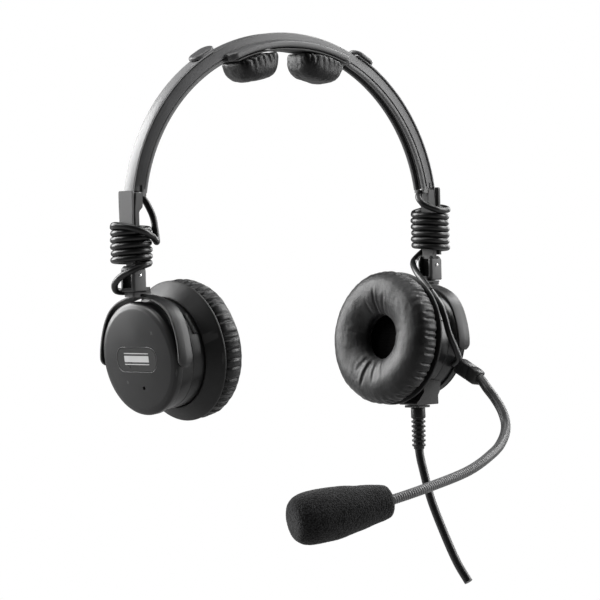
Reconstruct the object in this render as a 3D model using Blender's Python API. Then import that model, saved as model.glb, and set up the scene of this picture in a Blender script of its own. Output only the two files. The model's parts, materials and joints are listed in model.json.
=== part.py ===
"""Aviation headset with two on-ear cups, a boom microphone and a sprung headband.

The wearer faces -Y, +Z is up and +X is the wearer's left, which carries the boom.
The row's origin is the middle of the flat underside of the crown's pad plate, where a
headset hangs on a hook. Sizes are in millimetres in the script and metres in the scene.
"""

import math

import bmesh
import bpy
from mathutils import Matrix, Vector

MM = 0.001

# Headband arch: the outer edge is half an ellipse.
ARCH_HALF_SPAN = 100.3
ARCH_RISE = 91.0
ARCH_CENTRE_Z = 65.0  # above the ear axis
ARCH_END_Z = 79.0
ARCH_DEPTH = 7.4
CROWN_DEPTH = 6.6  # the band is shallower where the saddle clips on
CROWN_HALF_SPAN = 43.5
PLATE_DEPTH = (7.9, 8.7)  # the pad plate, below the arch's outer edge
PLATE_FLAT = 5.5  # half length of its flat middle

# Spring strip, one on each side, from its clip down into the sliding arm.
STRIP_HALF_WIDTH = 3.4
STRIP_THICK = 0.8
STRIP_GAP = 0.35
STRIP_X = 100.5  # centre of its straight lower end
STRIP_END_Z = 47.0
CLIP_X = 52.0

# Sliding arm and the block at its lower end.
ARM_HALF_WIDTH = 4.75
ARM_INNER_X = 97.3
ARM_HEAD_INNER_X = 95.0
ARM_TOP_Z = 78.0
ARM_SHOULDER_Z = 70.0
BLOCK_X = 98.6
SWIVEL_X = 99.2
BLOCK_HALF_DEPTH = 4.15
BLOCK_HALF_WIDTH = 5.0
BLOCK_Z = (31.3, 43.6)
PIN_Z = 39.0
PIN_RADIUS = 0.9

# Yoke, a stirrup about the cup.
YOKE_RADIUS = (28.3, 29.9)
YOKE_X = (88.6, 96.6)
YOKE_TIP_ANGLE = 98.0
YOKE_SHOULDER = 1.4  # how far it bulges half way down each side
STUD_RADIUS = 1.2
STUD_CLEARANCE = 0.06

# Ear cup, along its own axis from the tilt pivot, outwards positive.
PIVOT_X = 90.6
CUP_TILT = 6.75  # degrees at rest, cushion turned up
HOUSING_RADIUS = 26.0
NECK_RADIUS = 22.0
CAP_RADIUS = 27.1
FLANGE_RADIUS = 33.9
FLANGE_FACE = -19.4
CUSHION_RADIUS = 34.8
BADGE_SIZE = (29.4, 12.0)

# Cables and boom.
CABLE_RADIUS = 1.6
COIL_RADIUS = 8.4
COIL_STEPS = 12  # per turn
COIL_X = 99.4
COIL_Z = {"left": (47.0, 65.2), "right": (44.7, 62.0)}
COIL_STARTS = {"left": 0.14, "right": 0.36}  # in turns
COIL_TURNS = {"left": -5.75, "right": 5.5}  # the two sides are wound opposite ways
LEAD_RADIUS = 2.2
LEAD_START = (77.4, -10.3)
LEAD_PATH = ((77.4, -10.5, -55.6), (77.9, -12.8, -66.0), (79.3, -16.3, -80.2),
             (81.0, -23.0, -96.5), (82.7, -30.0, -111.0), (84.3, -36.5, -121.0))
# Each ear cable, in three stretches: the lead from the arch down to the coil, the tail
# from the coil to above the yoke, and the entry from there into the cup.
LEADS = {
    "left": ((97.6, 8.8, 66.3), (104.6, 7.4, 67.8), (109.0, 1.6, 68.6), (104.4, -8.0, 67.3),
             (96.4, -9.3, 67.3), (90.4, -5.6, 70.0), (89.6, -2.0, 73.6), (92.4, 0, 76.6)),
    "right": ((109.3, 0.5, 62.8), (106.8, 8.1, 61.8), (101.5, 11.6, 59.6), (96.6, 11.8, 57.4),
              (92.8, 10.0, 55.4), (90.6, 8.2, 54.6), (89.3, 6.6, 56.2), (88.9, 5.4, 60.2),
              (89.0, 4.0, 66.4), (90.6, 1.8, 72.6), (92.6, 0, 76.6)),
}
TAILS = {
    "left": ((104.45, 6.7, 46.95), (103.3, 7.6, 46.7), (101.6, 8.4, 45.7), (99.2, 8.8, 44.0),
             (96.6, 8.5, 42.4), (94.0, 7.3, 41.0), (91.0, 4.4, 39.2), (88.6, 1.0, 37.4),
             (86.6, -2.6, 35.3), (85.0, -6.6, 33.0), (83.4, -11.2, 30.3), (81.0, -17.8, 26.2)),
    "right": ((94.35, 6.7, 44.65), (95.4, 7.5, 44.4), (98.9, 8.6, 43.7), (104.6, 6.9, 41.6),
              (107.2, 1.2, 38.6), (107.0, -3.6, 35.2), (104.6, -6.0, 32.2),
              (99.6, -7.4, 31.3), (94.0, -8.6, 31.4)),
}
ENTRIES = {
    "left": ((80.9, -18.2, 25.9), (80.5, -24.9, 19.0), (80.3, -28.3, 12.4), (81.2, -30.2, 4.3),
             (84.0, -31.4, -3.0), (86.4, -31.0, -8.5), (87.0, -26.8, -11.2)),
    "right": ((93.6, -8.65, 31.35), (88.5, -8.8, 30.7), (85.7, -8.6, 28.9), (85.2, -8.2, 27.4)),
}
BOOM_ANGLE = 24.5  # degrees below straight ahead
BOOM_BLOCK = (25.0, 45.0)  # inner and outer radius
BOOM_BLOCK_X = 3.3
BOOM_REACH = ((91.0, -46.6, -23.6), (91.2, -51.6, -28.6), (90.4, -57.2, -35.0), (87.8, -61.8, -42.0),
              (80.8, -65.9, -48.3), (70.4, -69.2, -53.8), (49.8, -72.0, -61.2),
              (20.7, -72.0, -67.4), (0.0, -67.8, -72.1))
WINDSCREEN_TIP = (-48.0, -50.5, -79.4)
BOOM_BLOCK_HALF_WIDTH = 4.2
GOOSENECK_RADIUS = 2.5

ROUND_STEPS = 32
SMOOTH_ANGLE = math.radians(35)


# ---------------------------------------------------------------- helpers

def clear_scene():
    for old in list(bpy.data.objects):
        bpy.data.objects.remove(old)


def material(name, colour, roughness, metallic=0.0):
    found = bpy.data.materials.new(name)
    found.use_nodes = True
    shader = found.node_tree.nodes["Principled BSDF"]
    shader.inputs["Base Color"].default_value = (*colour, 1.0)
    shader.inputs["Roughness"].default_value = roughness
    shader.inputs["Metallic"].default_value = metallic
    return found


def empty(name, parent=None, place=(0, 0, 0), turn=(0, 0, 0)):
    """An empty on a joint's axis, with its children placed from it."""
    made = bpy.data.objects.new(name, None)
    bpy.context.scene.collection.objects.link(made)
    made.parent = parent
    made.location = Vector(place) * MM
    made.rotation_euler = [math.radians(angle) for angle in turn]
    return made


def finish_mesh(name, bm, finish, parent, place=(0, 0, 0), turn=(0, 0, 0)):
    """Turns a bmesh in millimetres into a named object in metres."""
    bmesh.ops.recalc_face_normals(bm, faces=bm.faces)
    bmesh.ops.scale(bm, vec=(MM, MM, MM), verts=bm.verts)
    mesh = bpy.data.meshes.new(name)
    bm.to_mesh(mesh)
    bm.free()
    mesh.shade_smooth()
    mesh.set_sharp_from_angle(angle=SMOOTH_ANGLE)
    made = bpy.data.objects.new(name, mesh)
    bpy.context.scene.collection.objects.link(made)
    if finish:
        mesh.materials.append(finish)
    made.parent = parent
    made.location = Vector(place) * MM
    made.rotation_euler = [math.radians(angle) for angle in turn]
    return made


def turned(name, profile, finish, parent, steps=ROUND_STEPS, **where):
    """A turned solid about local Z. The profile is (radius, height) pairs; a profile
    that starts and ends on the axis is a solid, any other is a closed ring."""
    bm = bmesh.new()
    verts = [bm.verts.new((r, 0, h)) for r, h in profile]
    edges = [bm.edges.new(pair) for pair in zip(verts, verts[1:])]
    if profile[0][0] > 0:
        edges.append(bm.edges.new((verts[-1], verts[0])))
    bmesh.ops.spin(
        bm, geom=verts + edges, cent=(0, 0, 0), axis=(0, 0, 1),
        angle=math.tau, steps=steps, use_merge=True,
    )
    bmesh.ops.remove_doubles(bm, verts=bm.verts, dist=0.001)
    return finish_mesh(name, bm, finish, parent, **where)


def skin_rings(bm, rings):
    """Joins rings of points into a closed solid with flat ends."""
    made = [[bm.verts.new(point) for point in ring] for ring in rings]
    count = len(rings[0])
    for low, high in zip(made, made[1:]):
        for i in range(count):
            j = (i + 1) % count
            bm.faces.new((low[i], low[j], high[j], high[i]))
    bm.faces.new(made[0])
    bm.faces.new(list(reversed(made[-1])))


def loft(name, rings, finish, parent, **where):
    bm = bmesh.new()
    skin_rings(bm, rings)
    return finish_mesh(name, bm, finish, parent, **where)


def prism(name, outline, low, high, finish, parent, plane="XZ", round_off=0.0, **where):
    """A plate with the given outline, from low to high along the plane's normal."""
    def at(a, b, c):
        return {"XZ": (a, c, b), "YZ": (c, a, b), "XY": (a, b, c)}[plane]

    bm = bmesh.new()
    skin_rings(bm, [[at(a, b, level) for a, b in outline] for level in (low, high)])
    if round_off:
        edges = [e for e in bm.edges if len(e.link_faces) == 2 and e.calc_face_angle() > 0.9]
        bmesh.ops.bevel(
            bm, geom=edges, offset=round_off, offset_type="OFFSET",
            segments=2, profile=0.5, affect="EDGES", clamp_overlap=True,
        )
    return finish_mesh(name, bm, finish, parent, **where)


def rectangle(a, b):
    return [(a[0], b[0]), (a[1], b[0]), (a[1], b[1]), (a[0], b[1])]


def rounded_rectangle(width, height, radius, steps=5):
    """An outline with round corners, about the origin."""
    points = []
    for corner in range(4):
        cx = (width / 2 - radius) * (1 if corner in (0, 3) else -1)
        cy = (height / 2 - radius) * (1 if corner in (0, 1) else -1)
        for step in range(steps + 1):
            angle = math.radians(90 * (corner + step / steps))
            points.append((cx + radius * math.cos(angle), cy + radius * math.sin(angle)))
    return points


def smooth_path(points, steps):
    """Points along a Catmull-Rom curve through the given ones."""
    knots = [Vector(p) for p in points]
    knots = [2 * knots[0] - knots[1], *knots, 2 * knots[-1] - knots[-2]]
    path = []
    for a, b, c, d in zip(knots, knots[1:], knots[2:], knots[3:]):
        for step in range(steps):
            t = step / steps
            path.append(
                0.5 * (2 * b + (c - a) * t + (2 * a - 5 * b + 4 * c - d) * t * t
                       + (3 * b - a - 3 * c + d) * t ** 3)
            )
    path.append(knots[-2])
    return path


def tube(name, path, radius, finish, parent, sides=8, **where):
    """A round cable or rod along a path, with flat ends."""
    tangents = [(b - a).normalized() for a, b in zip(path, path[1:])]
    tangents.append(tangents[-1])
    across = tangents[0].orthogonal().normalized()
    rings = []
    for i, (point, tangent) in enumerate(zip(path, tangents)):
        middle = (tangent + tangents[max(i - 1, 0)]).normalized()
        across = (across - across.dot(middle) * middle).normalized()
        other = middle.cross(across)
        rings.append([
            point + radius * (across * math.cos(a) + other * math.sin(a))
            for a in (math.tau * k / sides for k in range(sides))
        ])
    return loft(name, rings, finish, parent, **where)


def combine(target, tool, operation):
    """Adds an exact Boolean; the tool stays as a guide and isn't part of the object."""
    step = target.modifiers.new(tool.name, "BOOLEAN")
    step.operation = operation
    step.solver = "EXACT"
    step.object = tool
    tool.hide_render = True
    tool.display_type = "WIRE"


def rod(name, radius, low, high, parent, finish=None, steps=16, **where):
    return turned(
        name, [(0, low), (radius, low), (radius, high), (0, high)],
        finish, parent, steps=steps, **where,
    )


# ---------------------------------------------------------------- headband

def arch_angle(x):
    return math.asin(x / ARCH_HALF_SPAN)


def arch_outward(angle):
    outward = Vector((math.sin(angle) / ARCH_HALF_SPAN, 0, math.cos(angle) / ARCH_RISE))
    return outward.normalized()


def seat_height():
    """Height of the pad plate's flat underside above the ear axis."""
    angle = arch_angle(PLATE_FLAT)
    edge = ARCH_CENTRE_Z + ARCH_RISE * math.cos(angle)
    return edge - PLATE_DEPTH[1] * arch_outward(angle).z


EAR_Z = -seat_height()  # the ear axis, seen from the row's origin


def arch_frame(angle):
    """Point on the arch's outer edge and its outward direction, angle from the crown."""
    height = ARCH_CENTRE_Z + ARCH_RISE * math.cos(angle)
    point = Vector((ARCH_HALF_SPAN * math.sin(angle), 0, EAR_Z + height))
    return point, arch_outward(angle)


ARCH_END_ANGLE = math.acos((ARCH_END_Z - ARCH_CENTRE_Z) / ARCH_RISE)


def arch_sweep(name, section, angles, finish, parent):
    """Sweeps (y, depth below the outer edge) points along the arch."""
    rings = []
    for angle in angles:
        point, outward = arch_frame(angle)
        outline = section(angle) if callable(section) else section
        rings.append([point - outward * depth + Vector((0, y, 0)) for y, depth in outline])
    return loft(name, rings, finish, parent)


def spread(low, high, count):
    return [low + (high - low) * i / count for i in range(count + 1)]


def mirror_section(half):
    """A closed section from the points of its +Y half, listed from top to bottom."""
    return half + [(-y, depth) for y, depth in reversed(half)]


def build_band(parent, finish):
    """The arch: narrower outside, with a cable channel along its inner face."""
    crown_angle = arch_angle(CROWN_HALF_SPAN)

    def section(angle):
        depth = CROWN_DEPTH if abs(angle) < crown_angle else ARCH_DEPTH
        shelf = 0.3 * (depth - 5.0)
        return mirror_section([
            (3.0, 0), (4.0, 5.0), (3.7, 5.0 + shelf), (3.7, depth), (1.8, depth), (1.8, 4.3),
        ])

    side = spread(crown_angle + 0.004, ARCH_END_ANGLE, 12)
    crown = spread(-crown_angle + 0.004, crown_angle - 0.004, 12)
    angles = [-a for a in reversed(side)] + crown + side
    arch_sweep("band", section, angles, finish, parent)


def build_saddle(parent, finish):
    """The moulded saddle that clips under the crown and holds the pad plate."""
    ends = arch_angle(42.5)
    shoulder = arch_angle(38.0)
    angles = [-ends, *spread(-shoulder, shoulder, 14), ends]

    def section(angle):
        width = 8.5 if abs(angle) < ends - 0.001 else 6.3
        foot = width - 1.4
        return mirror_section([(4.3, 6.9), (4.3, 3.5), (width, 3.5), (width, 7.2), (foot, 7.6)])

    # each section runs from one side of the channel's floor round to the other
    arch_sweep("crown_saddle", section, angles, finish, parent)


def build_pad_plate(parent, finish):
    """The curved plate that carries both head pads; its middle is flat underneath."""
    flat = arch_angle(PLATE_FLAT)
    end = arch_angle(38.5)
    side = spread(flat, end, 7)
    angles = [-a for a in reversed(side)] + side
    section = mirror_section([(8.0, depth) for depth in PLATE_DEPTH])
    arch_sweep("pad_plate", section, angles, finish, parent)


def build_head_pad(name, side, parent, finish):
    """A plain cushion block under the plate; its leather skin is made elsewhere."""
    top = 9.1
    half_long = 14.5
    stations = (-1, -0.93, -0.75, -0.4, 0, 0.4, 0.75, 0.93, 1)
    angles = [side * arch_angle(24.0 + half_long * t) for t in stations]
    sections = {}
    for angle, t in zip(angles, stations):
        swell = math.sqrt(1 - t ** 4)
        half = 10.5 * (0.70 + 0.30 * swell)
        low = top + 12.8 * (0.45 + 0.55 * swell)
        sections[angle] = mirror_section([
            (half - 1.0, top), (half, top + 1.5), (half, low - 4.0), (half - 3.5, low),
        ])
    arch_sweep(name, sections.get, angles, finish, parent)


def strip_line():
    """Points along the middle of a strip's thickness, each with its outward direction."""
    height = STRIP_GAP + STRIP_THICK / 2
    knee = Vector((STRIP_X, 0, EAR_Z + 70.0))
    straight = Vector((1, 0, 0))
    line = [(Vector((STRIP_X, 0, EAR_Z + STRIP_END_Z)), straight), (knee, straight)]
    point, facing = arch_frame(arch_angle(97.6))
    start = point + facing * height
    for t in (0.25, 0.5, 0.75):
        x = knee.x + (start.x - knee.x) * t * t
        z = knee.z + (start.z - knee.z) * t
        line.append((Vector((x, 0, z)), straight.lerp(facing, t).normalized()))
    for angle in spread(arch_angle(97.6), arch_angle(CLIP_X - 4.5), 16):
        point, outward = arch_frame(angle)
        line.append((point + outward * height, outward))
    return line


def build_strip(name, parent, finish):
    """Sprung steel strip: straight inside the arm, then along the arch to its clip."""
    across = Vector((0, STRIP_HALF_WIDTH, 0))
    rings = []
    for point, outward in strip_line():
        half = outward * (STRIP_THICK / 2)
        rings.append([point + half - across, point + half + across,
                      point - half + across, point - half - across])
    loft(name, rings, finish, parent)


def build_strip_clip(name, parent, finish):
    """Oval cap that holds the upper end of a strip against the arch."""
    point, outward = arch_frame(arch_angle(CLIP_X))
    base = STRIP_GAP + STRIP_THICK + 0.25
    rings = []
    for size, height in ((1.0, base), (1.0, base + 1.0), (0.9, base + 1.7), (0.62, base + 2.1)):
        outline = rounded_rectangle(14.0 * size, 9.0 * size, 4.3 * size, steps=4)
        rings.append([(x, y, height) for x, y in outline])
    turn = (0, math.degrees(math.atan2(outward.x, outward.z)), 0)
    loft(name, rings, finish, parent, place=point, turn=turn)


def build_band_cable(parent, finish):
    """The link cable in the arch's inner channel, from one arm to the other."""
    path = []
    for angle in spread(-ARCH_END_ANGLE + 0.01, ARCH_END_ANGLE - 0.01, 34):
        point, outward = arch_frame(angle)
        path.append(point - outward * 5.5)
    tube("band_cable", path, 0.95, finish, parent, sides=6)


# ---------------------------------------------------------------- sliding arms

def build_arm_body(name, parent, finish):
    """Inner half of the arm: a wide head, a narrow blade and a tongue in the block."""
    outline = [
        (ARM_HEAD_INNER_X, ARM_TOP_Z), (ARM_HEAD_INNER_X, ARM_SHOULDER_Z + 1.2),
        (ARM_INNER_X, ARM_SHOULDER_Z - 0.8), (ARM_INNER_X, 36.2), (99.7, 36.2),
        (99.7, ARM_SHOULDER_Z), (98.8, ARM_TOP_Z),
    ]
    outline = [(x, z + EAR_Z) for x, z in outline]
    made = prism(name, outline, -4.0, 4.0, finish, parent)
    bore = rod(
        name + "_bore", PIN_RADIUS + 0.08, -6, 6, parent,
        place=(BLOCK_X, 0, EAR_Z + PIN_Z), turn=(90, 0, 0),
    )
    combine(made, bore, "DIFFERENCE")


def build_arm_cover(name, parent, finish):
    """Outer half of the arm: a plate over the strip, waisted below its head."""
    waist = ARM_HALF_WIDTH
    half = []
    for y, z in ((waist, 44.2), (waist, 66.0), (4.95, 71.0), (4.95, 77.6), (4.2, 78.9)):
        half.append((y, z + EAR_Z))
    outline = half + [(-y, z) for y, z in reversed(half)]
    prism(name, outline, 101.2, 102.4, finish, parent, plane="YZ")


def build_block(name, parent, finish):
    """Block at the arm's foot, open on the inner side and bored for the swivel stem."""
    low, high = (z + EAR_Z for z in BLOCK_Z)
    rings = []
    top = (high - 2.2, 0.0), (high - 0.8, 0.6), (high, 1.6)
    for z, inset in ((low, 0.5), (low + 0.5, 0.0), *top):
        deep = 2 * (BLOCK_HALF_DEPTH - inset * 0.5)
        wide = 2 * (BLOCK_HALF_WIDTH - inset)
        outline = rounded_rectangle(deep, wide, 1.2, steps=1)
        rings.append([(BLOCK_X + x, y, z) for x, y in outline])
    made = loft(name, rings, finish, parent)
    inner = BLOCK_X - BLOCK_HALF_DEPTH
    pocket = rectangle((97.0, 100.0), (EAR_Z + 35.9, high + 3))
    channel = rectangle((inner - 2, 96.2), (low + 1.7, high + 3))
    recess = rectangle((101.3, 104.0), (low + 1.7, high - 2.2))
    tools = [
        prism(name + "_recess", recess, -3.2, 3.2, None, parent),
        prism(name + "_pocket", pocket, -4.3, 4.3, None, parent),
        prism(name + "_channel", channel, -3.2, 3.2, None, parent),
        rod(name + "_pin_bore", PIN_RADIUS + 0.08, -8, 8, parent,
            place=(BLOCK_X, 0, EAR_Z + PIN_Z), turn=(90, 0, 0)),
        rod(name + "_stem_bore", 2.35, low - 2, low + 3.3, parent, place=(SWIVEL_X, 0, 0)),
    ]
    for tool in tools:
        combine(made, tool, "DIFFERENCE")


def build_block_pin(name, parent, finish):
    """Bright pin through block and arm, with a domed head at each end."""
    end = BLOCK_HALF_WIDTH + 0.45
    profile = [
        (0, -end), (0.6, -end), (PIN_RADIUS, -end + 0.3), (PIN_RADIUS, end - 0.3),
        (0.6, end), (0, end),
    ]
    turned(name, profile, finish, parent, steps=16,
           place=(BLOCK_X, 0, EAR_Z + PIN_Z), turn=(90, 0, 0))


def build_coil(name, parent, finish):
    """The cable's coils round the arm, and its lead up to the arch's channel."""
    low, high = COIL_Z[name]
    turns = COIL_TURNS[name]
    count = round(abs(turns) * COIL_STEPS)
    path = []
    for i in range(count + 1):
        angle = math.tau * (COIL_STARTS[name] + turns * i / count)
        height = low + (high - low) * i / count
        path.append(Vector((
            COIL_X + COIL_RADIUS * math.cos(angle), COIL_RADIUS * math.sin(angle),
            EAR_Z + height,
        )))
    path += smooth_path([path[-1], *((x, y, EAR_Z + z) for x, y, z in LEADS[name])], 4)[1:]
    tube(f"{name}_coil_cable", path, CABLE_RADIUS, finish, parent, sides=6)


# ---------------------------------------------------------------- swivelling yokes

def build_stem(name, parent, finish):
    """Swivel stem: a pivot post in the block, a collar and an inner toothed stop."""
    base = EAR_Z + 30.15
    outline = rounded_rectangle(11.3, 7.6, 1.0, steps=1)
    collar = [(x - 2.9, y) for x, y in outline]
    made = prism(name, collar, base, EAR_Z + 31.0, finish, parent, plane="XY")
    post = rod(name + "_post", 2.2, base, EAR_Z + 34.2, parent)
    stop = prism(
        name + "_stop", rectangle((-8.3, -5.7), (base + 0.2, EAR_Z + 33.4)), -3.0, 3.0,
        None, parent,
    )
    combine(made, post, "UNION")
    combine(made, stop, "UNION")
    for i in range(3):
        y = 1.7 * (i - 1)
        tooth = prism(
            f"{name}_tooth_{i}", rectangle((-8.9, -5.0), (EAR_Z + 32.7, EAR_Z + 34)),
            y - 0.35, y + 0.35, None, parent,
        )
        combine(made, tooth, "DIFFERENCE")


def build_yoke(name, parent, finish):
    """Stirrup about the cup, with a pivot stud inside each tip."""
    inner, outer = YOKE_RADIUS
    x_low, x_high = (x - SWIVEL_X for x in YOKE_X)
    middle = (x_low + x_high) / 2
    half = (x_high - x_low) / 2
    rings = []
    for angle in spread(-YOKE_TIP_ANGLE, YOKE_TIP_ANGLE, 40):
        past = max(0.0, abs(angle) - (YOKE_TIP_ANGLE - 5.0)) / 5.0
        width = half * (1 - 0.35 * past * past)
        turn = math.radians(angle)
        bulge = YOKE_SHOULDER * math.sin(2 * turn) ** 4
        rings.append([
            (x, (r + bulge) * math.sin(turn), EAR_Z + (r + bulge) * math.cos(turn))
            for x, r in (
                (middle - width, inner), (middle + width, inner),
                (middle + width, outer), (middle - width, outer),
            )
        ])
    made = loft(name, rings, finish, parent)
    for i, side in enumerate((-1, 1)):
        stud = rod(
            f"{name}_stud_{i}", STUD_RADIUS, 24.6, inner + 0.8, parent,
            place=(PIVOT_X - SWIVEL_X, 0, EAR_Z), turn=(90 * side, 0, 0),
        )
        combine(made, stud, "UNION")


# ---------------------------------------------------------------- ear cups

CUP_AXIS = (0, 90, 0)  # a turned piece's Z becomes the cup's outward axis


def to_cup(point):
    """A place beside the ear axis, as the tilted cup sees it from its pivot."""
    moved = Vector(point) - Vector((PIVOT_X, 0, 0))
    return Matrix.Rotation(math.radians(-CUP_TILT), 3, "Y") @ moved


def build_housing(name, parent, finish, cable_boss):
    """Open tube that holds the speaker, with a hole for each yoke stud."""
    made = turned(name, [
        (24.0, -17.6), (HOUSING_RADIUS, -17.6), (HOUSING_RADIUS, 1.7), (NECK_RADIUS, 1.7),
        (NECK_RADIUS, 4.6), (20.5, 4.6), (20.5, 0.2), (24.0, 0.2),
    ], finish, parent, turn=CUP_AXIS)
    if cable_boss:
        boss = prism(name + "_boss", [
            (-12.0, -20.0), (-12.0, -26.9), (-16.6, -32.9), (-15.8, -33.6), (-1.1, -31.9),
            (-1.8, -27.5), (-0.6, -25.0), (-0.6, -20.0),
        ], -16.7, -3.6, None, parent)
        combine(made, boss, "UNION")
    for i, y in enumerate((-20.6, 20.6)):
        rib = prism(
            f"{name}_rib_{i}", [(-11.0, 7.0), (-8.6, 6.6), (-10.2, 18.5), (-12.2, 18.5)],
            y - 4.5, y + 4.5, None, parent,
        )
        limit = rod(f"{name}_rib_limit_{i}", HOUSING_RADIUS + 0.7, -16, 0, parent,
                    steps=ROUND_STEPS, turn=CUP_AXIS)
        combine(rib, limit, "INTERSECT")
        combine(made, rib, "UNION")
    bore = turned(
        name + "_core", [(0, -20), (23.95, -20), (23.95, 0.2), (20.45, 0.25), (20.45, 6), (0, 6)],
        None, parent, turn=CUP_AXIS,
    )
    combine(made, bore, "DIFFERENCE")
    pivot = rod(name + "_pivot_bore", STUD_RADIUS + STUD_CLEARANCE, -30, 30, parent,
                turn=(90, 0, 0))
    combine(made, pivot, "DIFFERENCE")


def build_cap(name, parent, finish, skirt_from):
    """Domed outer cover with its badge recess and a small sound port."""
    rim = max(skirt_from, 4.4)
    outer = [(0, 7.9), (12, 7.75), (20, 7.3), (24.5, 6.6), (26.4, 5.7)]
    outer.append((CAP_RADIUS, rim + 0.3))
    skirt = [(25.8, skirt_from), (25.8, 4.4)] if skirt_from < 4 else []
    inner = [(CAP_RADIUS, skirt_from), *skirt, (22.4, 4.9), (12, 6.1), (0, 6.3)]
    made = turned(name, outer + inner, finish, parent, turn=CUP_AXIS)
    recess = prism(
        name + "_recess", rounded_rectangle(*BADGE_SIZE, 5.0), 6.9, 9.0, None, parent, plane="YZ",
    )
    combine(made, recess, "DIFFERENCE")
    port = prism(name + "_port", rectangle((-0.8, 0.8), (-14.4, -12.8)), 4.0, 9.0, None, parent,
                 plane="YZ", place=(0, 3.0, 0))
    combine(made, port, "DIFFERENCE")


def build_badge(name, parent, finish):
    """Plain badge plate in the cap's recess."""
    width, height = BADGE_SIZE
    outline = rounded_rectangle(width - 1.0, height - 1.0, 4.5)
    prism(name, outline, 7.1, 7.6, finish, parent, plane="YZ")


def build_flange(name, parent, finish):
    """Baffle with a conical flange; it closes the housing and carries the cushion."""
    turned(name, [
        (26.3, -12.5), (27.2, -12.5), (FLANGE_RADIUS, -18.3), (FLANGE_RADIUS, FLANGE_FACE),
        (12.0, FLANGE_FACE), (12.0, -17.9), (26.3, -17.9),
    ], finish, parent, turn=CUP_AXIS)


def build_driver(name, parent, finish):
    """Moving-coil speaker: basket, then its magnet."""
    turned(name, [
        (0, -17.6), (19.0, -17.6), (19.0, -15.6), (15.0, -13.6), (9.5, -12.6), (9.5, -8.0),
        (0, -8.0),
    ], finish, parent, turn=CUP_AXIS, steps=28)


def build_sound_disc(name, parent, finish):
    """Open-cell disc in front of the speaker."""
    rod(name, 20.0, FLANGE_FACE - 1.5, FLANGE_FACE - 0.3, parent, finish, turn=CUP_AXIS, steps=28)


def build_cushion(name, parent, finish):
    """Plain ring cushion; its leather skin is made elsewhere."""
    turned(name, [
        (20.8, -19.8), (33.2, -19.8), (CUSHION_RADIUS, -22.5), (CUSHION_RADIUS, -27.0),
        (33.0, -31.5), (29.0, -34.4), (24.0, -35.2), (18.5, -34.2), (13.5, -31.0),
        (11.2, -27.0), (11.2, -23.5), (13.0, -21.4), (20.6, -21.3),
    ], finish, parent, turn=CUP_AXIS)


def build_clamp_plate(name, parent, finish):
    """Small plate under the cable boss that grips the strain relief."""
    prism(name, rounded_rectangle(8.8, 10.4, 1.0, steps=1), -1.1, 0, finish, parent,
          plane="XY", place=to_cup((77.0, -10.2, -31.9)), turn=(0, -CUP_TILT, 0))


def build_strain_relief(name, parent, finish):
    """Ribbed rubber sleeve: a collar, then six ribs; the lead runs up inside it."""
    bore = LEAD_RADIUS + 0.12
    profile = [(bore, 0), (3.7, 0), (3.7, -5.0), (2.9, -5.5)]
    for i in range(6):
        top = -6.3 - 2.4 * i
        wide = 3.45 - 0.07 * i
        profile += [(2.9, top), (wide, top - 0.3), (wide, top - 1.0), (2.9, top - 1.3)]
    profile += [(2.7, -21.0), (bore, -21.0)]
    turned(name, profile, finish, parent, steps=14,
           place=to_cup((*LEAD_START, -33.3)), turn=(0, -CUP_TILT, 0))


def build_down_lead(name, parent, finish):
    """The lead to the aircraft's sockets, cut off square after its first bend."""
    path = [to_cup(point) for point in ((*LEAD_START, -34.1), (*LEAD_START, -45.0), *LEAD_PATH)]
    tube(name, smooth_path(path, 3), LEAD_RADIUS, finish, parent, sides=8)


def build_ear_cables(name, swivel, tilt, finish):
    """The lower stretches of the ear cable: the tail swings with the yoke, and the entry
    tilts with the cup."""
    tail = [(x - SWIVEL_X, y, z + EAR_Z) for x, y, z in TAILS[name]]
    entry = [to_cup(point) for point in ENTRIES[name]]
    tube(f"{name}_tail_cable", smooth_path(tail, 3), CABLE_RADIUS, finish, swivel, sides=6)
    tube(f"{name}_entry_cable", smooth_path(entry, 3), CABLE_RADIUS, finish, tilt, sides=6)


# ---------------------------------------------------------------- boom

def build_boom_swivel(name, parent, finish):
    """Ring round the housing's neck with the block that grips the gooseneck."""
    made = turned(name, [
        (NECK_RADIUS + 0.15, 1.95), (26.9, 1.95), (26.9, 4.6), (NECK_RADIUS + 0.15, 4.6),
    ], finish, parent, turn=CUP_AXIS)
    low, high = BOOM_BLOCK
    rings = []
    full = 2 * BOOM_BLOCK_HALF_WIDTH
    for r, thick, wide in (
        (low, 2.4, full - 1.8), (low + 2.4, 2.4, full - 1.8), (low + 3.4, 7.0, full),
        (high - 1.2, 7.0, full), (high, 6.0, full - 1.0),
    ):
        outline = rounded_rectangle(thick, wide, 0.6 if thick < 3 else 1.0, steps=2)
        rings.append([(x + BOOM_BLOCK_X, y, -r) for x, y in outline])
    ahead = (-(90 - BOOM_ANGLE), 0, 0)
    block = loft(name + "_block", rings, None, parent, turn=ahead)
    combine(made, block, "UNION")
    socket = rod(name + "_socket", GOOSENECK_RADIUS + 0.15, -high - 2, -high + 9.0, parent,
                 place=(BOOM_BLOCK_X, 0, 0), turn=ahead)
    combine(made, socket, "DIFFERENCE")


def build_gooseneck(name, parent, finish, end):
    """Bendable stalk from the block's socket to inside the windscreen."""
    ahead = math.radians(BOOM_ANGLE)
    out = Vector((0, -math.cos(ahead), -math.sin(ahead)))
    depths = (36.4, 40.0, 43.0, 46.0)
    root = [Vector((BOOM_BLOCK_X, 0, 0)) + out * r for r in depths]
    knots = root + [to_cup(point) for point in BOOM_REACH] + [end]
    tube(name, smooth_path(knots, 4), GOOSENECK_RADIUS, finish, parent, sides=8)


def build_capsule(name, parent, finish, place, turn):
    """Microphone capsule at the gooseneck's end."""
    turned(name, [(0, 0.3), (3.4, 0.3), (4.6, 2.5), (4.6, 14.0), (3.6, 15.5), (0, 15.5)],
           finish, parent, steps=18, place=place, turn=turn)


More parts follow.
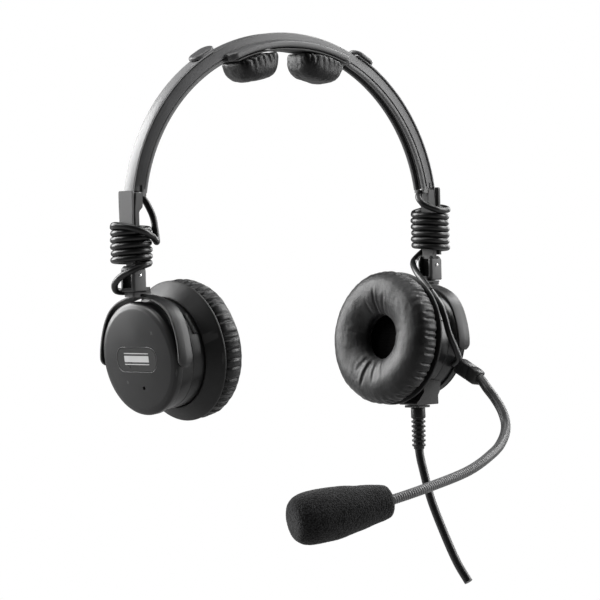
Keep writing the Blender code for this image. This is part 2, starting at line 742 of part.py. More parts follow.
def build_windscreen(name, parent, finish, place, turn):
    """Foam windscreen, a bulb with a blind bore for the capsule and gooseneck."""
    turned(name, [
        (0, 16.2), (5.0, 16.2), (5.0, -5.0), (6.6, -5.0), (8.2, -3.2), (9.1, 1.0),
        (10.6, 11.0), (12.1, 21.0), (12.9, 30.0), (12.6, 36.5), (11.0, 42.0),
        (7.5, 45.3), (0, 46.4),
    ], finish, parent, steps=28, place=place, turn=turn)


# ---------------------------------------------------------------- assembly

def build_cup(name, tilt, finishes):
    """Everything that tilts with one ear cup; only the left cup carries the boom."""
    boom_side = name == "left"
    build_housing(f"{name}_housing", tilt, finishes["black"], boom_side)
    skirt_from = 4.9 if boom_side else 1.95
    build_cap(f"{name}_outer_cap", tilt, finishes["black"], skirt_from)
    build_badge(f"{name}_badge", tilt, finishes["badge"])
    build_flange(f"{name}_baffle_flange", tilt, finishes["black"])
    build_driver(f"{name}_speaker", tilt, finishes["steel"])
    build_sound_disc(f"{name}_sound_disc", tilt, finishes["foam"])
    build_cushion(f"{name}_ear_cushion", tilt, finishes["leather"])


def build_side(name, turn, root, finishes):
    """Everything on one side of the head, from the strip down to the cushion."""
    side = empty(f"{name}_side", root, turn=(0, 0, turn))
    build_strip(f"{name}_spring_strip", side, finishes["strip"])
    build_strip_clip(f"{name}_strip_clip", side, finishes["grey"])
    slide = empty(f"{name}_slide_axis", side)
    build_arm_body(f"{name}_arm_body", slide, finishes["grey"])
    build_arm_cover(f"{name}_arm_cover", slide, finishes["grey"])
    build_block(f"{name}_arm_block", slide, finishes["black"])
    build_block_pin(f"{name}_block_pin", slide, finishes["steel"])
    build_coil(name, slide, finishes["rubber"])
    swivel = empty(f"{name}_swivel_axis", slide, place=(SWIVEL_X, 0, 0))
    build_stem(f"{name}_swivel_stem", swivel, finishes["grey"])
    build_yoke(f"{name}_yoke", swivel, finishes["black"])
    pivot = (PIVOT_X - SWIVEL_X, 0, EAR_Z)
    tilt = empty(f"{name}_tilt_axis", swivel, place=pivot, turn=(0, CUP_TILT, 0))
    build_cup(name, tilt, finishes)
    build_ear_cables(name, swivel, tilt, finishes["rubber"])
    return tilt


def build_boom(cup, finishes):
    """Swivel ring, gooseneck, capsule and windscreen, turning about the cup's axis."""
    axis = empty("boom_axis", cup)
    build_boom_swivel("boom_swivel", axis, finishes["black"])
    rear = to_cup(BOOM_REACH[-1])
    along = (to_cup(WINDSCREEN_TIP) - rear).normalized()
    end = rear + along * 5.0
    turn = [math.degrees(a) for a in along.to_track_quat("Z", "Y").to_euler()]
    build_gooseneck("gooseneck", axis, finishes["gooseneck"], end)
    build_capsule("mic_capsule", axis, finishes["steel"], end, turn)
    build_windscreen("windscreen", axis, finishes["foam"], end, turn)


def build_headset():
    clear_scene()
    finishes = {
        "grey": material("grey_plastic", (0.075, 0.075, 0.078), 0.42),
        "black": material("black_plastic", (0.028, 0.028, 0.030), 0.38),
        "strip": material("painted_strip", (0.78, 0.78, 0.79), 0.35, 0.3),
        "steel": material("bright_steel", (0.80, 0.80, 0.80), 0.25, 1.0),
        "leather": material("black_leatherette", (0.022, 0.022, 0.023), 0.45),
        "foam": material("grey_foam", (0.035, 0.035, 0.036), 0.95),
        "rubber": material("black_cable", (0.030, 0.030, 0.031), 0.40),
        "gooseneck": material("grey_gooseneck", (0.11, 0.11, 0.115), 0.42),
        "badge": material("badge_face", (0.018, 0.018, 0.019), 0.30),
    }
    root = empty("headset")
    build_band(root, finishes["grey"])
    build_saddle(root, finishes["grey"])
    build_pad_plate(root, finishes["grey"])
    for name, side in (("left", 1), ("right", -1)):
        build_head_pad(f"{name}_head_pad", side, root, finishes["leather"])
    build_band_cable(root, finishes["rubber"])
    left_cup = build_side("left", 0, root, finishes)
    build_side("right", 180, root, finishes)
    build_clamp_plate("clamp_plate", left_cup, finishes["grey"])
    build_strain_relief("strain_relief", left_cup, finishes["rubber"])
    build_down_lead("down_lead", left_cup, finishes["rubber"])
    build_boom(left_cup, finishes)


build_headset()
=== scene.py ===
"""Looks of the aviation headset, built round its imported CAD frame.

Shapes are worked out in millimetres from the CAD's own joints, then written in metres.
The wearer faces -Y, +Z is up, and +X is the wearer's left, which carries the boom.
"""

import json
import math

import bmesh
import bpy
import numpy as np
from mathutils import Matrix, Vector, noise


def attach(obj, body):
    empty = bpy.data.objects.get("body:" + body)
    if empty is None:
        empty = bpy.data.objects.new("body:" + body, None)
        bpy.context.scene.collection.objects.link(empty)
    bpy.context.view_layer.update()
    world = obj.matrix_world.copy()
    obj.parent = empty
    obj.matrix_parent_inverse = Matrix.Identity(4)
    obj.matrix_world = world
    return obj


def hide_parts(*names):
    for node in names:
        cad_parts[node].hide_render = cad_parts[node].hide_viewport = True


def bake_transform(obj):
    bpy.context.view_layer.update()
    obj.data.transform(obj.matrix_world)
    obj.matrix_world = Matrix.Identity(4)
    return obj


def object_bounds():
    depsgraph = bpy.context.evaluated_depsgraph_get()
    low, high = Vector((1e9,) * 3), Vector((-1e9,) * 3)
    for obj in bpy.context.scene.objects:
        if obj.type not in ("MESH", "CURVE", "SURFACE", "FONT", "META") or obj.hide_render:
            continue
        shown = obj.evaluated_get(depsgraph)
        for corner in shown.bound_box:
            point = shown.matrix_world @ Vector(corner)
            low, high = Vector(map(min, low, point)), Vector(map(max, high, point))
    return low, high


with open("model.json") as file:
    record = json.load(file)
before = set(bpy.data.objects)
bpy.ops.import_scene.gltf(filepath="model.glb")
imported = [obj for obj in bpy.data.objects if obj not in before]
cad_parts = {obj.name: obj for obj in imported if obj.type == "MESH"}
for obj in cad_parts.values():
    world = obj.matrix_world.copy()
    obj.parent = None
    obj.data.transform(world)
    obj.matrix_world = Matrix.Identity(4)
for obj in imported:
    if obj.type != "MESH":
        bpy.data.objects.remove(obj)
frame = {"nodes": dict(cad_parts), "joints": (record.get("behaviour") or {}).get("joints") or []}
CAD_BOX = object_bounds()

MM = 0.001
STILL = Matrix.Identity(4)


def set_at(point):
    """Placement at a point."""
    return Matrix.Translation(point)


def about(axis, angle):
    """Turn about an axis through the origin."""
    return Matrix.Rotation(angle, 4, axis)


JOINTS = {joint["name"]: joint for joint in frame["joints"]}
EAR = Vector(JOINTS["left_cup_tilt"]["pos_m"]) / MM
SWIVEL = Vector(JOINTS["left_fork_swivel"]["pos_m"]) / MM
CUP_AXIS = Vector(JOINTS["boom_turn"]["axis"])
CUP_TILT = math.atan2(-CUP_AXIS.z, CUP_AXIS.x)
SIDE = {"left": STILL, "right": about("Z", math.pi)}
TO_CUP = set_at(EAR) @ about("Y", CUP_TILT)
TURN_OUT = about("Y", math.pi / 2)  # a turned piece's Z becomes the cup's axis


def from_ear(points):
    """Points whose heights are above the ear axis, as points in the headset."""
    return [(*point[:-1], point[-1] + EAR.z) for point in points]


# The arch's outer edge is half an ellipse; its heights are above the ear axis.
ARCH_HALF_SPAN = 100.3
ARCH_RISE = 91.0
ARCH_CENTRE_Z = 65.0
ARCH_END_Z = 79.0
ARCH_DEPTH = 7.4
CROWN_DEPTH = 6.6
CROWN_HALF_SPAN = 43.5

# Distances from the middle of the headset, and the cables' sizes.
HEAD_PAD_X = 24.0
HEAD_PAD_REACH = 14.2
YOKE_X = 92.6
BLOCK_X = 98.6
COIL_X = 99.4
COIL_RADIUS = 8.4
CABLE_RADIUS = 1.6
LEAD_RADIUS = 2.2


# ---------------------------------------------------------------- mesh helpers

def emit(name, bm, look, body, place=STILL, replaces=None, sharp=35):
    """Turns a bmesh in millimetres into a finished piece that rides on a body."""
    piece = loose(name, bm, place)
    piece.data.shade_smooth()
    if sharp:
        piece.data.set_sharp_from_angle(angle=math.radians(sharp))
    piece.data.materials.append(LOOKS[look])
    if body:
        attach(piece, body)
    if replaces:
        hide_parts(replaces)
    return piece


def loose(name, bm, place=STILL):
    """An object made from a bmesh in millimetres, with nothing more done to it."""
    bmesh.ops.transform(bm, matrix=Matrix.Scale(MM, 4) @ place, verts=bm.verts)
    bmesh.ops.recalc_face_normals(bm, faces=bm.faces)
    mesh = bpy.data.meshes.new(name)
    bm.to_mesh(mesh)
    bm.free()
    return linked(name, mesh)


def linked(name, data):
    made = bpy.data.objects.new(name, data)
    bpy.context.scene.collection.objects.link(made)
    return made


def rounded(profile, radius, closed=False, steps=3):
    """A polyline with its corners rounded, each by at most the given radius."""
    points = [Vector(p) for p in profile]
    made = []
    count = len(points)
    for i, point in enumerate(points):
        if not closed and i in (0, count - 1):
            made.append(point)
            continue
        before = points[i - 1] - point
        after = points[(i + 1) % count] - point
        reach = min(radius, before.length * 0.48, after.length * 0.48)
        start = point + before.normalized() * reach
        end = point + after.normalized() * reach
        for step in range(steps + 1):
            t = step / steps
            made.append(start.lerp(point, t).lerp(point.lerp(end, t), t))
    return made


def turned(profile, radius=0.0, steps=96):
    """A turned solid about Z from (radius, height) pairs."""
    on_axis = profile[0][0] == 0
    points = rounded(profile, radius, closed=not on_axis) if radius else profile
    bm = bmesh.new()
    verts = [bm.verts.new((p[0], 0, p[1])) for p in points]
    edges = [bm.edges.new(pair) for pair in zip(verts, verts[1:])]
    if not on_axis:
        edges.append(bm.edges.new((verts[-1], verts[0])))
    bmesh.ops.spin(bm, geom=verts + edges, cent=(0, 0, 0), axis=(0, 0, 1),
                   angle=math.tau, steps=steps, use_merge=True)
    bmesh.ops.remove_doubles(bm, verts=bm.verts, dist=0.001)
    return bm


def skinned(rings, cap=True):
    """A closed skin through rings of points."""
    bm = bmesh.new()
    made = [[bm.verts.new(point) for point in ring] for ring in rings]
    count = len(rings[0])
    for low, high in zip(made, made[1:]):
        for i in range(count):
            j = (i + 1) % count
            bm.faces.new((low[i], low[j], high[j], high[i]))
    if cap:
        bm.faces.new(made[0])
        bm.faces.new(list(reversed(made[-1])))
    return bm


def block(outline, low, high, bevel=0.0, plane="XZ", segments=3, least=0.5):
    """A plate with an outline and rounded edges, from low to high along its normal."""
    def at(a, b, c):
        return {"XZ": (a, c, b), "YZ": (c, a, b), "XY": (a, b, c)}[plane]

    bm = skinned([[at(a, b, level) for a, b in outline] for level in (low, high)])
    if bevel:
        soften(bm, bevel, segments, least)
    return bm


def soften(bm, bevel, segments=3, least=0.5):
    """Rounds every edge that turns by more than least radians."""
    edges = [e for e in bm.edges if len(e.link_faces) == 2 and e.calc_face_angle() > least]
    bmesh.ops.bevel(bm, geom=edges, offset=bevel, offset_type="OFFSET", segments=segments,
                    profile=0.5, affect="EDGES", clamp_overlap=True)


def oblong(width, height, radius, steps=8):
    """A rounded rectangle's outline about the origin."""
    points = []
    for corner in range(4):
        cx = (width / 2 - radius) * (1 if corner in (0, 3) else -1)
        cy = (height / 2 - radius) * (1 if corner in (0, 1) else -1)
        for step in range(steps + 1):
            angle = math.radians(90 * (corner + step / steps))
            points.append((cx + radius * math.cos(angle), cy + radius * math.sin(angle)))
    return points


def rectangle(a, b):
    return [(a[0], b[0]), (a[1], b[0]), (a[1], b[1]), (a[0], b[1])]


def smooth_path(points, steps):
    """Points along a Catmull-Rom curve through the given ones."""
    knots = [Vector(p) for p in points]
    knots = [2 * knots[0] - knots[1], *knots, 2 * knots[-1] - knots[-2]]
    path = []
    for a, b, c, d in zip(knots, knots[1:], knots[2:], knots[3:]):
        for step in range(steps):
            t = step / steps
            path.append(0.5 * (2 * b + (c - a) * t + (2 * a - 5 * b + 4 * c - d) * t * t
                               + (3 * b - a - 3 * c + d) * t ** 3))
    path.append(knots[-2])
    return path


def even_path(path, spacing):
    """The same path with evenly spaced points."""
    lengths = [0.0]
    for a, b in zip(path, path[1:]):
        lengths.append(lengths[-1] + (b - a).length)
    count = max(2, round(lengths[-1] / spacing))
    at = np.linspace(0, lengths[-1], count + 1)
    coords = np.array([tuple(p) for p in path])
    columns = [np.interp(at, lengths, coords[:, k]) for k in range(3)]
    return [Vector(p) for p in zip(*columns)]


def tube(path, radius, sides=16):
    """A round cable along a path; radius may be a function of (length, angle)."""
    tangents = [(b - a).normalized() for a, b in zip(path, path[1:])]
    tangents.append(tangents[-1])
    across = tangents[0].orthogonal().normalized()
    rings = []
    length = 0.0
    for i, (point, tangent) in enumerate(zip(path, tangents)):
        middle = (tangent + tangents[max(i - 1, 0)]).normalized()
        across = (across - across.dot(middle) * middle).normalized()
        other = middle.cross(across)
        length += (point - path[i - 1]).length if i else 0.0
        ring = []
        for k in range(sides):
            angle = math.tau * k / sides
            r = radius(length, angle) if callable(radius) else radius
            ring.append(point + r * (across * math.cos(angle) + other * math.sin(angle)))
        rings.append(ring)
    return skinned(rings)


def cut(piece, *tools):
    """Takes each tool out of a piece, for good."""
    for tool in tools:
        step = piece.modifiers.new("cut", "BOOLEAN")
        step.operation = "DIFFERENCE"
        step.solver = "EXACT"
        step.object = tool
    seen = piece.evaluated_get(bpy.context.evaluated_depsgraph_get())
    mesh = bpy.data.meshes.new_from_object(seen)
    piece.modifiers.clear()
    piece.data = mesh
    mesh.shade_smooth()
    mesh.set_sharp_from_angle(angle=math.radians(35))
    for tool in tools:
        bpy.data.objects.remove(tool)


def cutter(bm, place=STILL):
    return loose("cutter", bm, place)


def spread(low, high, count):
    return [low + (high - low) * i / count for i in range(count + 1)]


def ease(low, high, value):
    """0 below low, 1 above high, and smooth between them."""
    t = min(1.0, max(0.0, (value - low) / (high - low)))
    return t * t * (3 - 2 * t)


# ---------------------------------------------------------------- looks

class Look:
    """A procedural material, built up from a Principled shader."""

    def __init__(self, name, colour, roughness, metallic=0.0, **inputs):
        self.material = bpy.data.materials.new(name)
        self.material.use_nodes = True
        self.tree = self.material.node_tree
        self.shader = self.tree.nodes["Principled BSDF"]
        self.colour = colour
        self.roughness = roughness
        self.put("Base Color", (*colour, 1.0))
        self.put("Roughness", roughness)
        self.put("Metallic", metallic)
        for key, value in inputs.items():
            self.put(key.replace("_", " ").title().replace("Ior", "IOR"), value)
        self.where = self.node("ShaderNodeTexCoord").outputs["Object"]

    def node(self, kind, **settings):
        made = self.tree.nodes.new(kind)
        for key, value in settings.items():
            if key in made.inputs:
                made.inputs[key].default_value = value
            else:
                setattr(made, key, value)
        return made

    def link(self, start, end):
        self.tree.links.new(start, end)

    def put(self, key, value):
        self.shader.inputs[key].default_value = value

    def placed(self, stretch=(1, 1, 1), turn=(0, 0, 0)):
        """Object coordinates, stretched, so a texture can have a direction."""
        made = self.node("ShaderNodeMapping")
        made.inputs["Scale"].default_value = stretch
        made.inputs["Rotation"].default_value = turn
        self.link(self.where, made.inputs["Vector"])
        return made.outputs["Vector"]

    def noise(self, size_mm, detail=3.0, rough=0.5, where=None):
        made = self.node("ShaderNodeTexNoise", Scale=1000 / size_mm, Detail=detail,
                         Roughness=rough)
        self.link(where or self.where, made.inputs["Vector"])
        return made.outputs["Fac"]

    def cells(self, size_mm, feature="DISTANCE_TO_EDGE"):
        made = self.node("ShaderNodeTexVoronoi", feature=feature, Scale=1000 / size_mm)
        self.link(self.where, made.inputs["Vector"])
        return made.outputs["Distance"]

    def span(self, value, low, high, to_low=0.0, to_high=1.0):
        made = self.node("ShaderNodeMapRange")
        made.clamp = True
        for key, number in (("From Min", low), ("From Max", high),
                            ("To Min", to_low), ("To Max", to_high)):
            made.inputs[key].default_value = number
        self.link(value, made.inputs["Value"])
        return made.outputs["Result"]

    def add(self, a, b, share):
        made = self.node("ShaderNodeMath", operation="MULTIPLY_ADD")
        self.link(b, made.inputs[0])
        made.inputs[1].default_value = share
        self.link(a, made.inputs[2])
        return made.outputs["Value"]

    def mix(self, amount, a, b):
        """Colour a turning into colour b; either may be a plain colour or a socket."""
        made = self.node("ShaderNodeMix", data_type="RGBA")
        self.link(amount, made.inputs["Factor"])
        for socket, value in ((made.inputs[6], a), (made.inputs[7], b)):
            if isinstance(value, tuple):
                socket.default_value = (*value, 1.0)
            else:
                self.link(value, socket)
        return made.outputs[2]

    def bump(self, height, depth_mm, strength):
        """Adds relief of the given depth on top of what is there already."""
        made = self.node("ShaderNodeBump", Strength=strength)
        made.inputs["Distance"].default_value = depth_mm * MM
        self.link(height, made.inputs["Height"])
        before = self.shader.inputs["Normal"]
        if before.is_linked:
            self.link(before.links[0].from_socket, made.inputs["Normal"])
        self.link(made.outputs["Normal"], before)

    def grain(self, size_mm, depth_mm, strength, detail=2.0):
        """Relief from plain noise."""
        self.bump(self.noise(size_mm, detail=detail), depth_mm, strength)

    def paint(self, tint):
        self.tint = tint
        self.link(tint, self.shader.inputs["Base Color"])

    def pointed(self, low, high, share):
        """The share of a second colour where the surface is a ridge, or a valley."""
        shape = self.node("ShaderNodeNewGeometry")
        return self.span(shape.outputs["Pointiness"], low, high, 0.0, share)

    def mottle(self, size_mm, share, rough_share=0.12):
        """Slow variation of colour and roughness."""
        patches = self.noise(size_mm, detail=4.0, rough=0.6)
        dark = tuple(c * (1 - share) for c in self.colour)
        light = tuple(min(1.0, c * (1 + share)) for c in self.colour)
        self.paint(self.mix(self.span(patches, 0.3, 0.7), dark, light))
        rough = self.span(patches, 0.25, 0.75, self.roughness * (1 - rough_share),
                          self.roughness * (1 + rough_share))
        self.link(rough, self.shader.inputs["Roughness"])

    def wear(self, colour, low=0.51, high=0.56, share=0.6):
        """Edges rubbed to a lighter colour."""
        self.paint(self.mix(self.pointed(low, high, share), self.tint, colour))


def plastic_look(name, grey, blue, roughness, grain_mm, relief_mm, edge, specular=0.5):
    """Moulded plastic: spark-eroded grain, slow mottling and edges rubbed to a lighter grey."""
    look = Look(name, (grey, grey, blue), roughness, specular_ior_level=specular)
    look.mottle(14, 0.10)
    look.wear((edge, edge, edge))
    look.grain(grain_mm, relief_mm, 0.55)
    look.grain(6.0, 0.03, 0.25)
    return look.material


def leather_look(name, wrinkle_share):
    """Soft leatherette: pebble grain, fine creases and a dull sheen."""
    look = Look(name, (0.0075, 0.0075, 0.0078), 0.43, specular_ior_level=0.45,
                sheen_weight=0.12, sheen_roughness=0.45)
    look.mottle(9, 0.25, 0.16)
    pebble = look.cells(0.75)
    look.bump(look.span(pebble, 0.0, 0.28), 0.055, 0.55)
    look.grain(0.5, 0.03, 0.4, detail=3.0)
    creases = look.noise(4.5, detail=5.0, rough=0.62, where=look.placed((1, 1, 0.45)))
    look.bump(look.span(creases, 0.35, 0.65), 0.35, wrinkle_share)
    return look.material


def foam_look():
    """Open-cell foam: fine pores, some of them darkened with painted shade."""
    look = Look("windscreen_foam", (0.026, 0.026, 0.0265), 0.95, specular_ior_level=0.15,
                sheen_weight=0.12, sheen_roughness=0.6)
    pores = look.cells(0.85, feature="F1")
    fine = look.noise(0.55, detail=3.0, rough=0.65)
    # Painted shade in the pores: where this sum runs high, the colour below goes nearly black.
    light = look.add(look.span(pores, 0.25, 0.75), fine, 0.5)
    look.paint(look.mix(look.span(light, 0.35, 1.15), (0.028, 0.028, 0.029),
                        (0.003, 0.003, 0.003)))
    look.bump(pores, 0.45, 0.7)
    look.bump(fine, 0.22, 0.6)
    return look.material


def cable_look(name, colour, roughness):
    """Extruded sheath: smooth skin with faint ripples from the core."""
    look = Look(name, colour, roughness, specular_ior_level=0.6)
    look.mottle(11, 0.15)
    look.grain(2.6, 0.04, 0.30)
    look.grain(0.8, 0.005, 0.3, detail=1.0)
    return look.material


def gooseneck_look():
    """Dark near its socket, grey towards the foam, with painted shade darkening the thread's
    valleys.
    """
    look = Look("gooseneck_sleeve", (0.13, 0.13, 0.133), 0.38, specular_ior_level=0.5)
    away = look.node("ShaderNodeVectorMath", operation="DISTANCE")
    look.link(look.where, away.inputs[0])
    away.inputs[1].default_value = EAR * MM
    reach = look.span(away.outputs["Value"], 0.052, 0.112)
    tint = look.mix(reach, (0.020, 0.020, 0.0205), (0.150, 0.150, 0.152))
    # Painted shade: the thread's valleys, where pointiness is low, are darkened to near-black.
    look.paint(look.mix(look.pointed(0.50, 0.46, 0.45), tint, (0.03, 0.03, 0.03)))
    look.grain(2.5, 0.03, 0.25)
    return look.material


def paint_look():
    """Near-white satin paint on spring steel, slightly worn at its edges."""
    look = Look("painted_spring", (0.22, 0.22, 0.223), 0.38, specular_ior_level=0.35,
                coat_weight=0.15, coat_roughness=0.25)
    look.mottle(20, 0.04)
    look.wear((0.36, 0.36, 0.36), share=0.4)
    brushed = look.noise(0.5, detail=2.0, where=look.placed((0.2, 1, 0.2)))
    look.bump(brushed, 0.002, 0.25)
    return look.material


def steel_look():
    """Turned bright steel."""
    look = Look("bright_pin", (0.85, 0.85, 0.85), 0.22, metallic=1.0)
    look.mottle(3, 0.06, 0.3)
    look.grain(0.25, 0.004, 0.4)
    return look.material


def mesh_look():
    """Woven acoustic cloth over the speaker; the same look colours the painted-shade sheets in
    the arm blocks.
    """
    look = Look("speaker_cloth", (0.004, 0.004, 0.004), 0.9, specular_ior_level=0.05)
    for turn in (0.0, math.pi / 2):
        weave = look.node("ShaderNodeTexWave", Scale=1000 / 2.4)
        look.link(look.placed(turn=(turn, 0, 0)), weave.inputs["Vector"])
        weave.bands_direction = "Y"
        look.bump(weave.outputs["Fac"], 0.15, 0.8)
    look.mottle(5, 0.2)
    return look.material


def print_look():
    look = Look("badge_print", (0.62, 0.62, 0.62), 0.5)
    look.mottle(4, 0.04)
    look.grain(0.3, 0.01, 0.3)
    return look.material


def shown_to_camera(tree, lit, shown, end):
    """Wires one shader for the light's rays and another for the camera's."""
    rays = tree.nodes.new("ShaderNodeLightPath")
    mix = tree.nodes.new("ShaderNodeMixShader")
    tree.links.new(rays.outputs["Is Camera Ray"], mix.inputs["Fac"])
    tree.links.new(lit, mix.inputs[1])
    tree.links.new(shown, mix.inputs[2])
    tree.links.new(mix.outputs["Shader"], tree.nodes[end].inputs["Surface"])


def floor_look():
    """Matt white floor, lit evenly so that it meets the white surround with no line."""
    look = Look("studio_floor", (0.28, 0.28, 0.28), 0.9, specular_ior_level=0.0)
    look.mottle(400, 0.01)
    glow = look.node("ShaderNodeEmission", Strength=1.0)
    shown_to_camera(look.tree, look.shader.outputs["BSDF"], glow.outputs["Emission"],
                    "Material Output")
    return look.material


# A plastic takes its grey and blue, roughness, grain size and depth in millimetres, and the
# grey of its rubbed edges.
LOOKS = {
    "shell": plastic_look("band_plastic", 0.080, 0.082, 0.40, 0.8, 0.005, 0.16),
    "arm": plastic_look("arm_plastic", 0.040, 0.041, 0.46, 0.8, 0.010, 0.15, specular=0.3),
    "block": plastic_look("block_plastic", 0.036, 0.037, 0.44, 0.8, 0.010, 0.12),
    "black": plastic_look("cup_plastic", 0.011, 0.0115, 0.36, 0.45, 0.022, 0.07),
    "dark": plastic_look("flange_plastic", 0.006, 0.0063, 0.52, 0.6, 0.03, 0.05),
    "gloss": plastic_look("housing_plastic", 0.012, 0.0124, 0.30, 1.2, 0.006, 0.06, specular=0.6),
    "badge": plastic_look("badge_plastic", 0.006, 0.006, 0.30, 0.4, 0.006, 0.05),
    "cap": plastic_look("cap_plastic", 0.014, 0.0145, 0.34, 0.38, 0.030, 0.08),
    "yoke": plastic_look("yoke_plastic", 0.016, 0.0165, 0.42, 0.45, 0.022, 0.09),
    "rim": plastic_look("badge_rim", 0.20, 0.20, 0.25, 0.4, 0.006, 0.4),
    "leather": leather_look("cushion_leather", 0.30),
    "pad_leather": leather_look("head_pad_leather", 0.55),
    "foam": foam_look(),
    "cable": cable_look("cable_sheath", (0.008, 0.008, 0.0083), 0.34),
    "rubber": cable_look("relief_rubber", (0.007, 0.007, 0.007), 0.38),
    "gooseneck": gooseneck_look(),
    "paint": paint_look(),
    "steel": steel_look(),
    "cloth": mesh_look(),
    "print": print_look(),
}


# ---------------------------------------------------------------- headband

def arch_angle(x):
    return math.asin(x / ARCH_HALF_SPAN)


def arch_frame(angle):
    """Point on the arch's outer edge and its outward direction."""
    height = ARCH_CENTRE_Z + ARCH_RISE * math.cos(angle)
    point = Vector((ARCH_HALF_SPAN * math.sin(angle), 0, EAR.z + height))
    outward = Vector((math.sin(angle) / ARCH_HALF_SPAN, 0, math.cos(angle) / ARCH_RISE))
    return point, outward.normalized()


ARCH_END_ANGLE = math.acos((ARCH_END_Z - ARCH_CENTRE_Z) / ARCH_RISE)


def arch_ring(angle, section):
    """(y, depth below the outer edge) points set on the arch at an angle."""
    point, outward = arch_frame(angle)
    return [point - outward * depth + Vector((0, y, 0)) for y, depth in section]


def arch_sweep(section, angles):
    return skinned([arch_ring(angle, section(angle)) for angle in angles])


def mirrored(half):
    return half + [(-y, depth) for y, depth in reversed(half)]


def band_section(angle):
    """Rounded outer part, a parting groove, then the two lips of the cable channel."""
    crown = arch_angle(CROWN_HALF_SPAN)
    share = ease(crown - 0.02, crown + 0.03, abs(angle))
    depth = CROWN_DEPTH + (ARCH_DEPTH - CROWN_DEPTH) * share
    return mirrored([
        (2.30, 0.00), (2.70, 0.07), (2.95, 0.30), (3.08, 0.62), (3.52, 2.80), (3.92, 4.62),
        (3.96, 4.88), (3.86, 5.04), (3.56, 5.10), (3.42, 5.24), (3.46, 5.42),
        (3.64, 5.48), (3.70, 5.62), (3.68, depth - 0.32), (3.58, depth - 0.08),
        (3.36, depth), (2.14, depth), (1.92, depth - 0.09), (1.82, depth - 0.34),
        (1.8, 4.3),
    ])


def build_band():
    bm = arch_sweep(band_section, spread(-ARCH_END_ANGLE, ARCH_END_ANGLE, 180))
    band = emit("band_shell", bm, "shell", "headband", replaces="band", sharp=40)
    tools = []
    for name in ("right", "left"):
        turn = SIDE[name]
        for low in (-5.0, 2.95):
            notch = block(rectangle((94.9, 97.0), (EAR.z + 78.0, EAR.z + 81.4)), low, low + 2.05)
            tools.append(cutter(notch, turn))
        for i, low in enumerate((-3.75, 1.95)):
            outline = rectangle((92.5, 94.7), (EAR.z + 76.2, EAR.z + 79.6))
            lip = block(outline, low, low + 1.8, 0.2, least=0.9)
            emit(f"{name}_band_lip_{i}", lip, "shell", "headband", turn)
    cut(band, *tools)


def build_saddle():
    """Saddle moulding: sloped shoulder, flat face and a shadow gap over the pad plate."""
    end = arch_angle(42.3)
    shoulder = arch_angle(38.5)

    def section(angle):
        narrow = ease(shoulder, end, abs(angle))
        width = 8.45 - 2.1 * narrow
        return mirrored([
            (4.3, 6.9), (4.3, 3.70), (4.42, 3.54), (4.7, 3.50), (width - 1.35, 3.95),
            (width - 0.45, 4.38), (width - 0.1, 4.75), (width, 5.2), (width, 6.75),
            (width - 0.12, 7.1), (width - 0.5, 7.32), (width - 1.3, 7.55),
        ])

    angles = spread(-end, -shoulder, 8)[:-1] + spread(-shoulder, shoulder, 90)
    angles += spread(shoulder, end, 8)[1:]
    emit("crown_saddle_shell", arch_sweep(section, angles), "shell", "headband",
         replaces="crown_saddle", sharp=50)


def build_pad_plate():
    flat = arch_angle(5.5)
    end = arch_angle(38.4)

    def section(_):
        return mirrored([(7.75, 7.92), (7.95, 8.0), (8.0, 8.2), (7.98, 8.5), (7.8, 8.68)])

    angles = spread(-end, -flat, 30) + spread(flat, end, 30)
    emit("pad_plate_shell", arch_sweep(section, angles), "arm", "headband",
         replaces="pad_plate", sharp=50)


def strip_line(stations):
    """Middle of a spring strip, from inside the arm up along the arch to its clip."""
    height = 0.35 + 0.4
    knee = Vector((100.5, 0, EAR.z + 70.0))
    straight = Vector((1, 0, 0))
    line = [(Vector((100.5, 0, EAR.z + 47.0)), straight), (knee, straight)]
    point, facing = arch_frame(arch_angle(97.6))
    start = point + facing * height
    for t in spread(0, 1, 12)[1:-1]:
        x = knee.x + (start.x - knee.x) * t * t
        z = knee.z + (start.z - knee.z) * t
        line.append((Vector((x, 0, z)), straight.lerp(facing, t).normalized()))
    for angle in spread(arch_angle(97.6), arch_angle(47.5), stations):
        point, outward = arch_frame(angle)
        line.append((point + outward * height, outward))
    return line


def build_strip(name, turn):
    rings = []
    outline = oblong(6.8, 0.8, 0.22, steps=3)
    for point, outward in strip_line(80):
        rings.append([point + Vector((0, across, 0)) + outward * up for across, up in outline])
    emit(f"{name}_spring_strip_painted", skinned(rings), "paint", "headband", turn,
         replaces=f"{name}_spring_strip", sharp=30)


def build_clip(name, turn):
    """Oval cap over the strip's upper end, softly domed."""
    point, outward = arch_frame(arch_angle(52.0))
    base = 1.4
    rings = []
    for share, height in ((0.985, 0), (1.0, 0.12), (1.0, 0.95), (0.985, 1.2), (0.95, 1.45),
                          (0.87, 1.72), (0.74, 1.93), (0.5, 2.06), (0.2, 2.1)):
        rings.append([(x, y, base + height)
                      for x, y in oblong(14.0 * share, 9.0 * share, 4.3 * share)])
    lean = about("Y", math.atan2(outward.x, outward.z))
    emit(f"{name}_strip_clip_cap", skinned(rings), "shell", "headband",
         turn @ set_at(point) @ lean, replaces=f"{name}_strip_clip", sharp=50)


def build_band_cable():
    path = []
    for angle in spread(-ARCH_END_ANGLE + 0.01, ARCH_END_ANGLE - 0.01, 150):
        point, outward = arch_frame(angle)
        path.append(point - outward * 5.5)
    emit("band_cable_sheath", tube(path, 0.95, 12), "cable", "headband", replaces="band_cable",
         sharp=60)


# ---------------------------------------------------------------- padded leather

CLOTH_FRAMES = 20
CLOTH_SCALE = 8.0
CLOTH = {
    "quality": 6, "mass": 0.25, "tension_stiffness": 12, "compression_stiffness": 12,
    "bending_stiffness": 0.4, "use_pressure": True, "uniform_pressure_force": 4.0,
    "vertex_group_mass": "held",
}


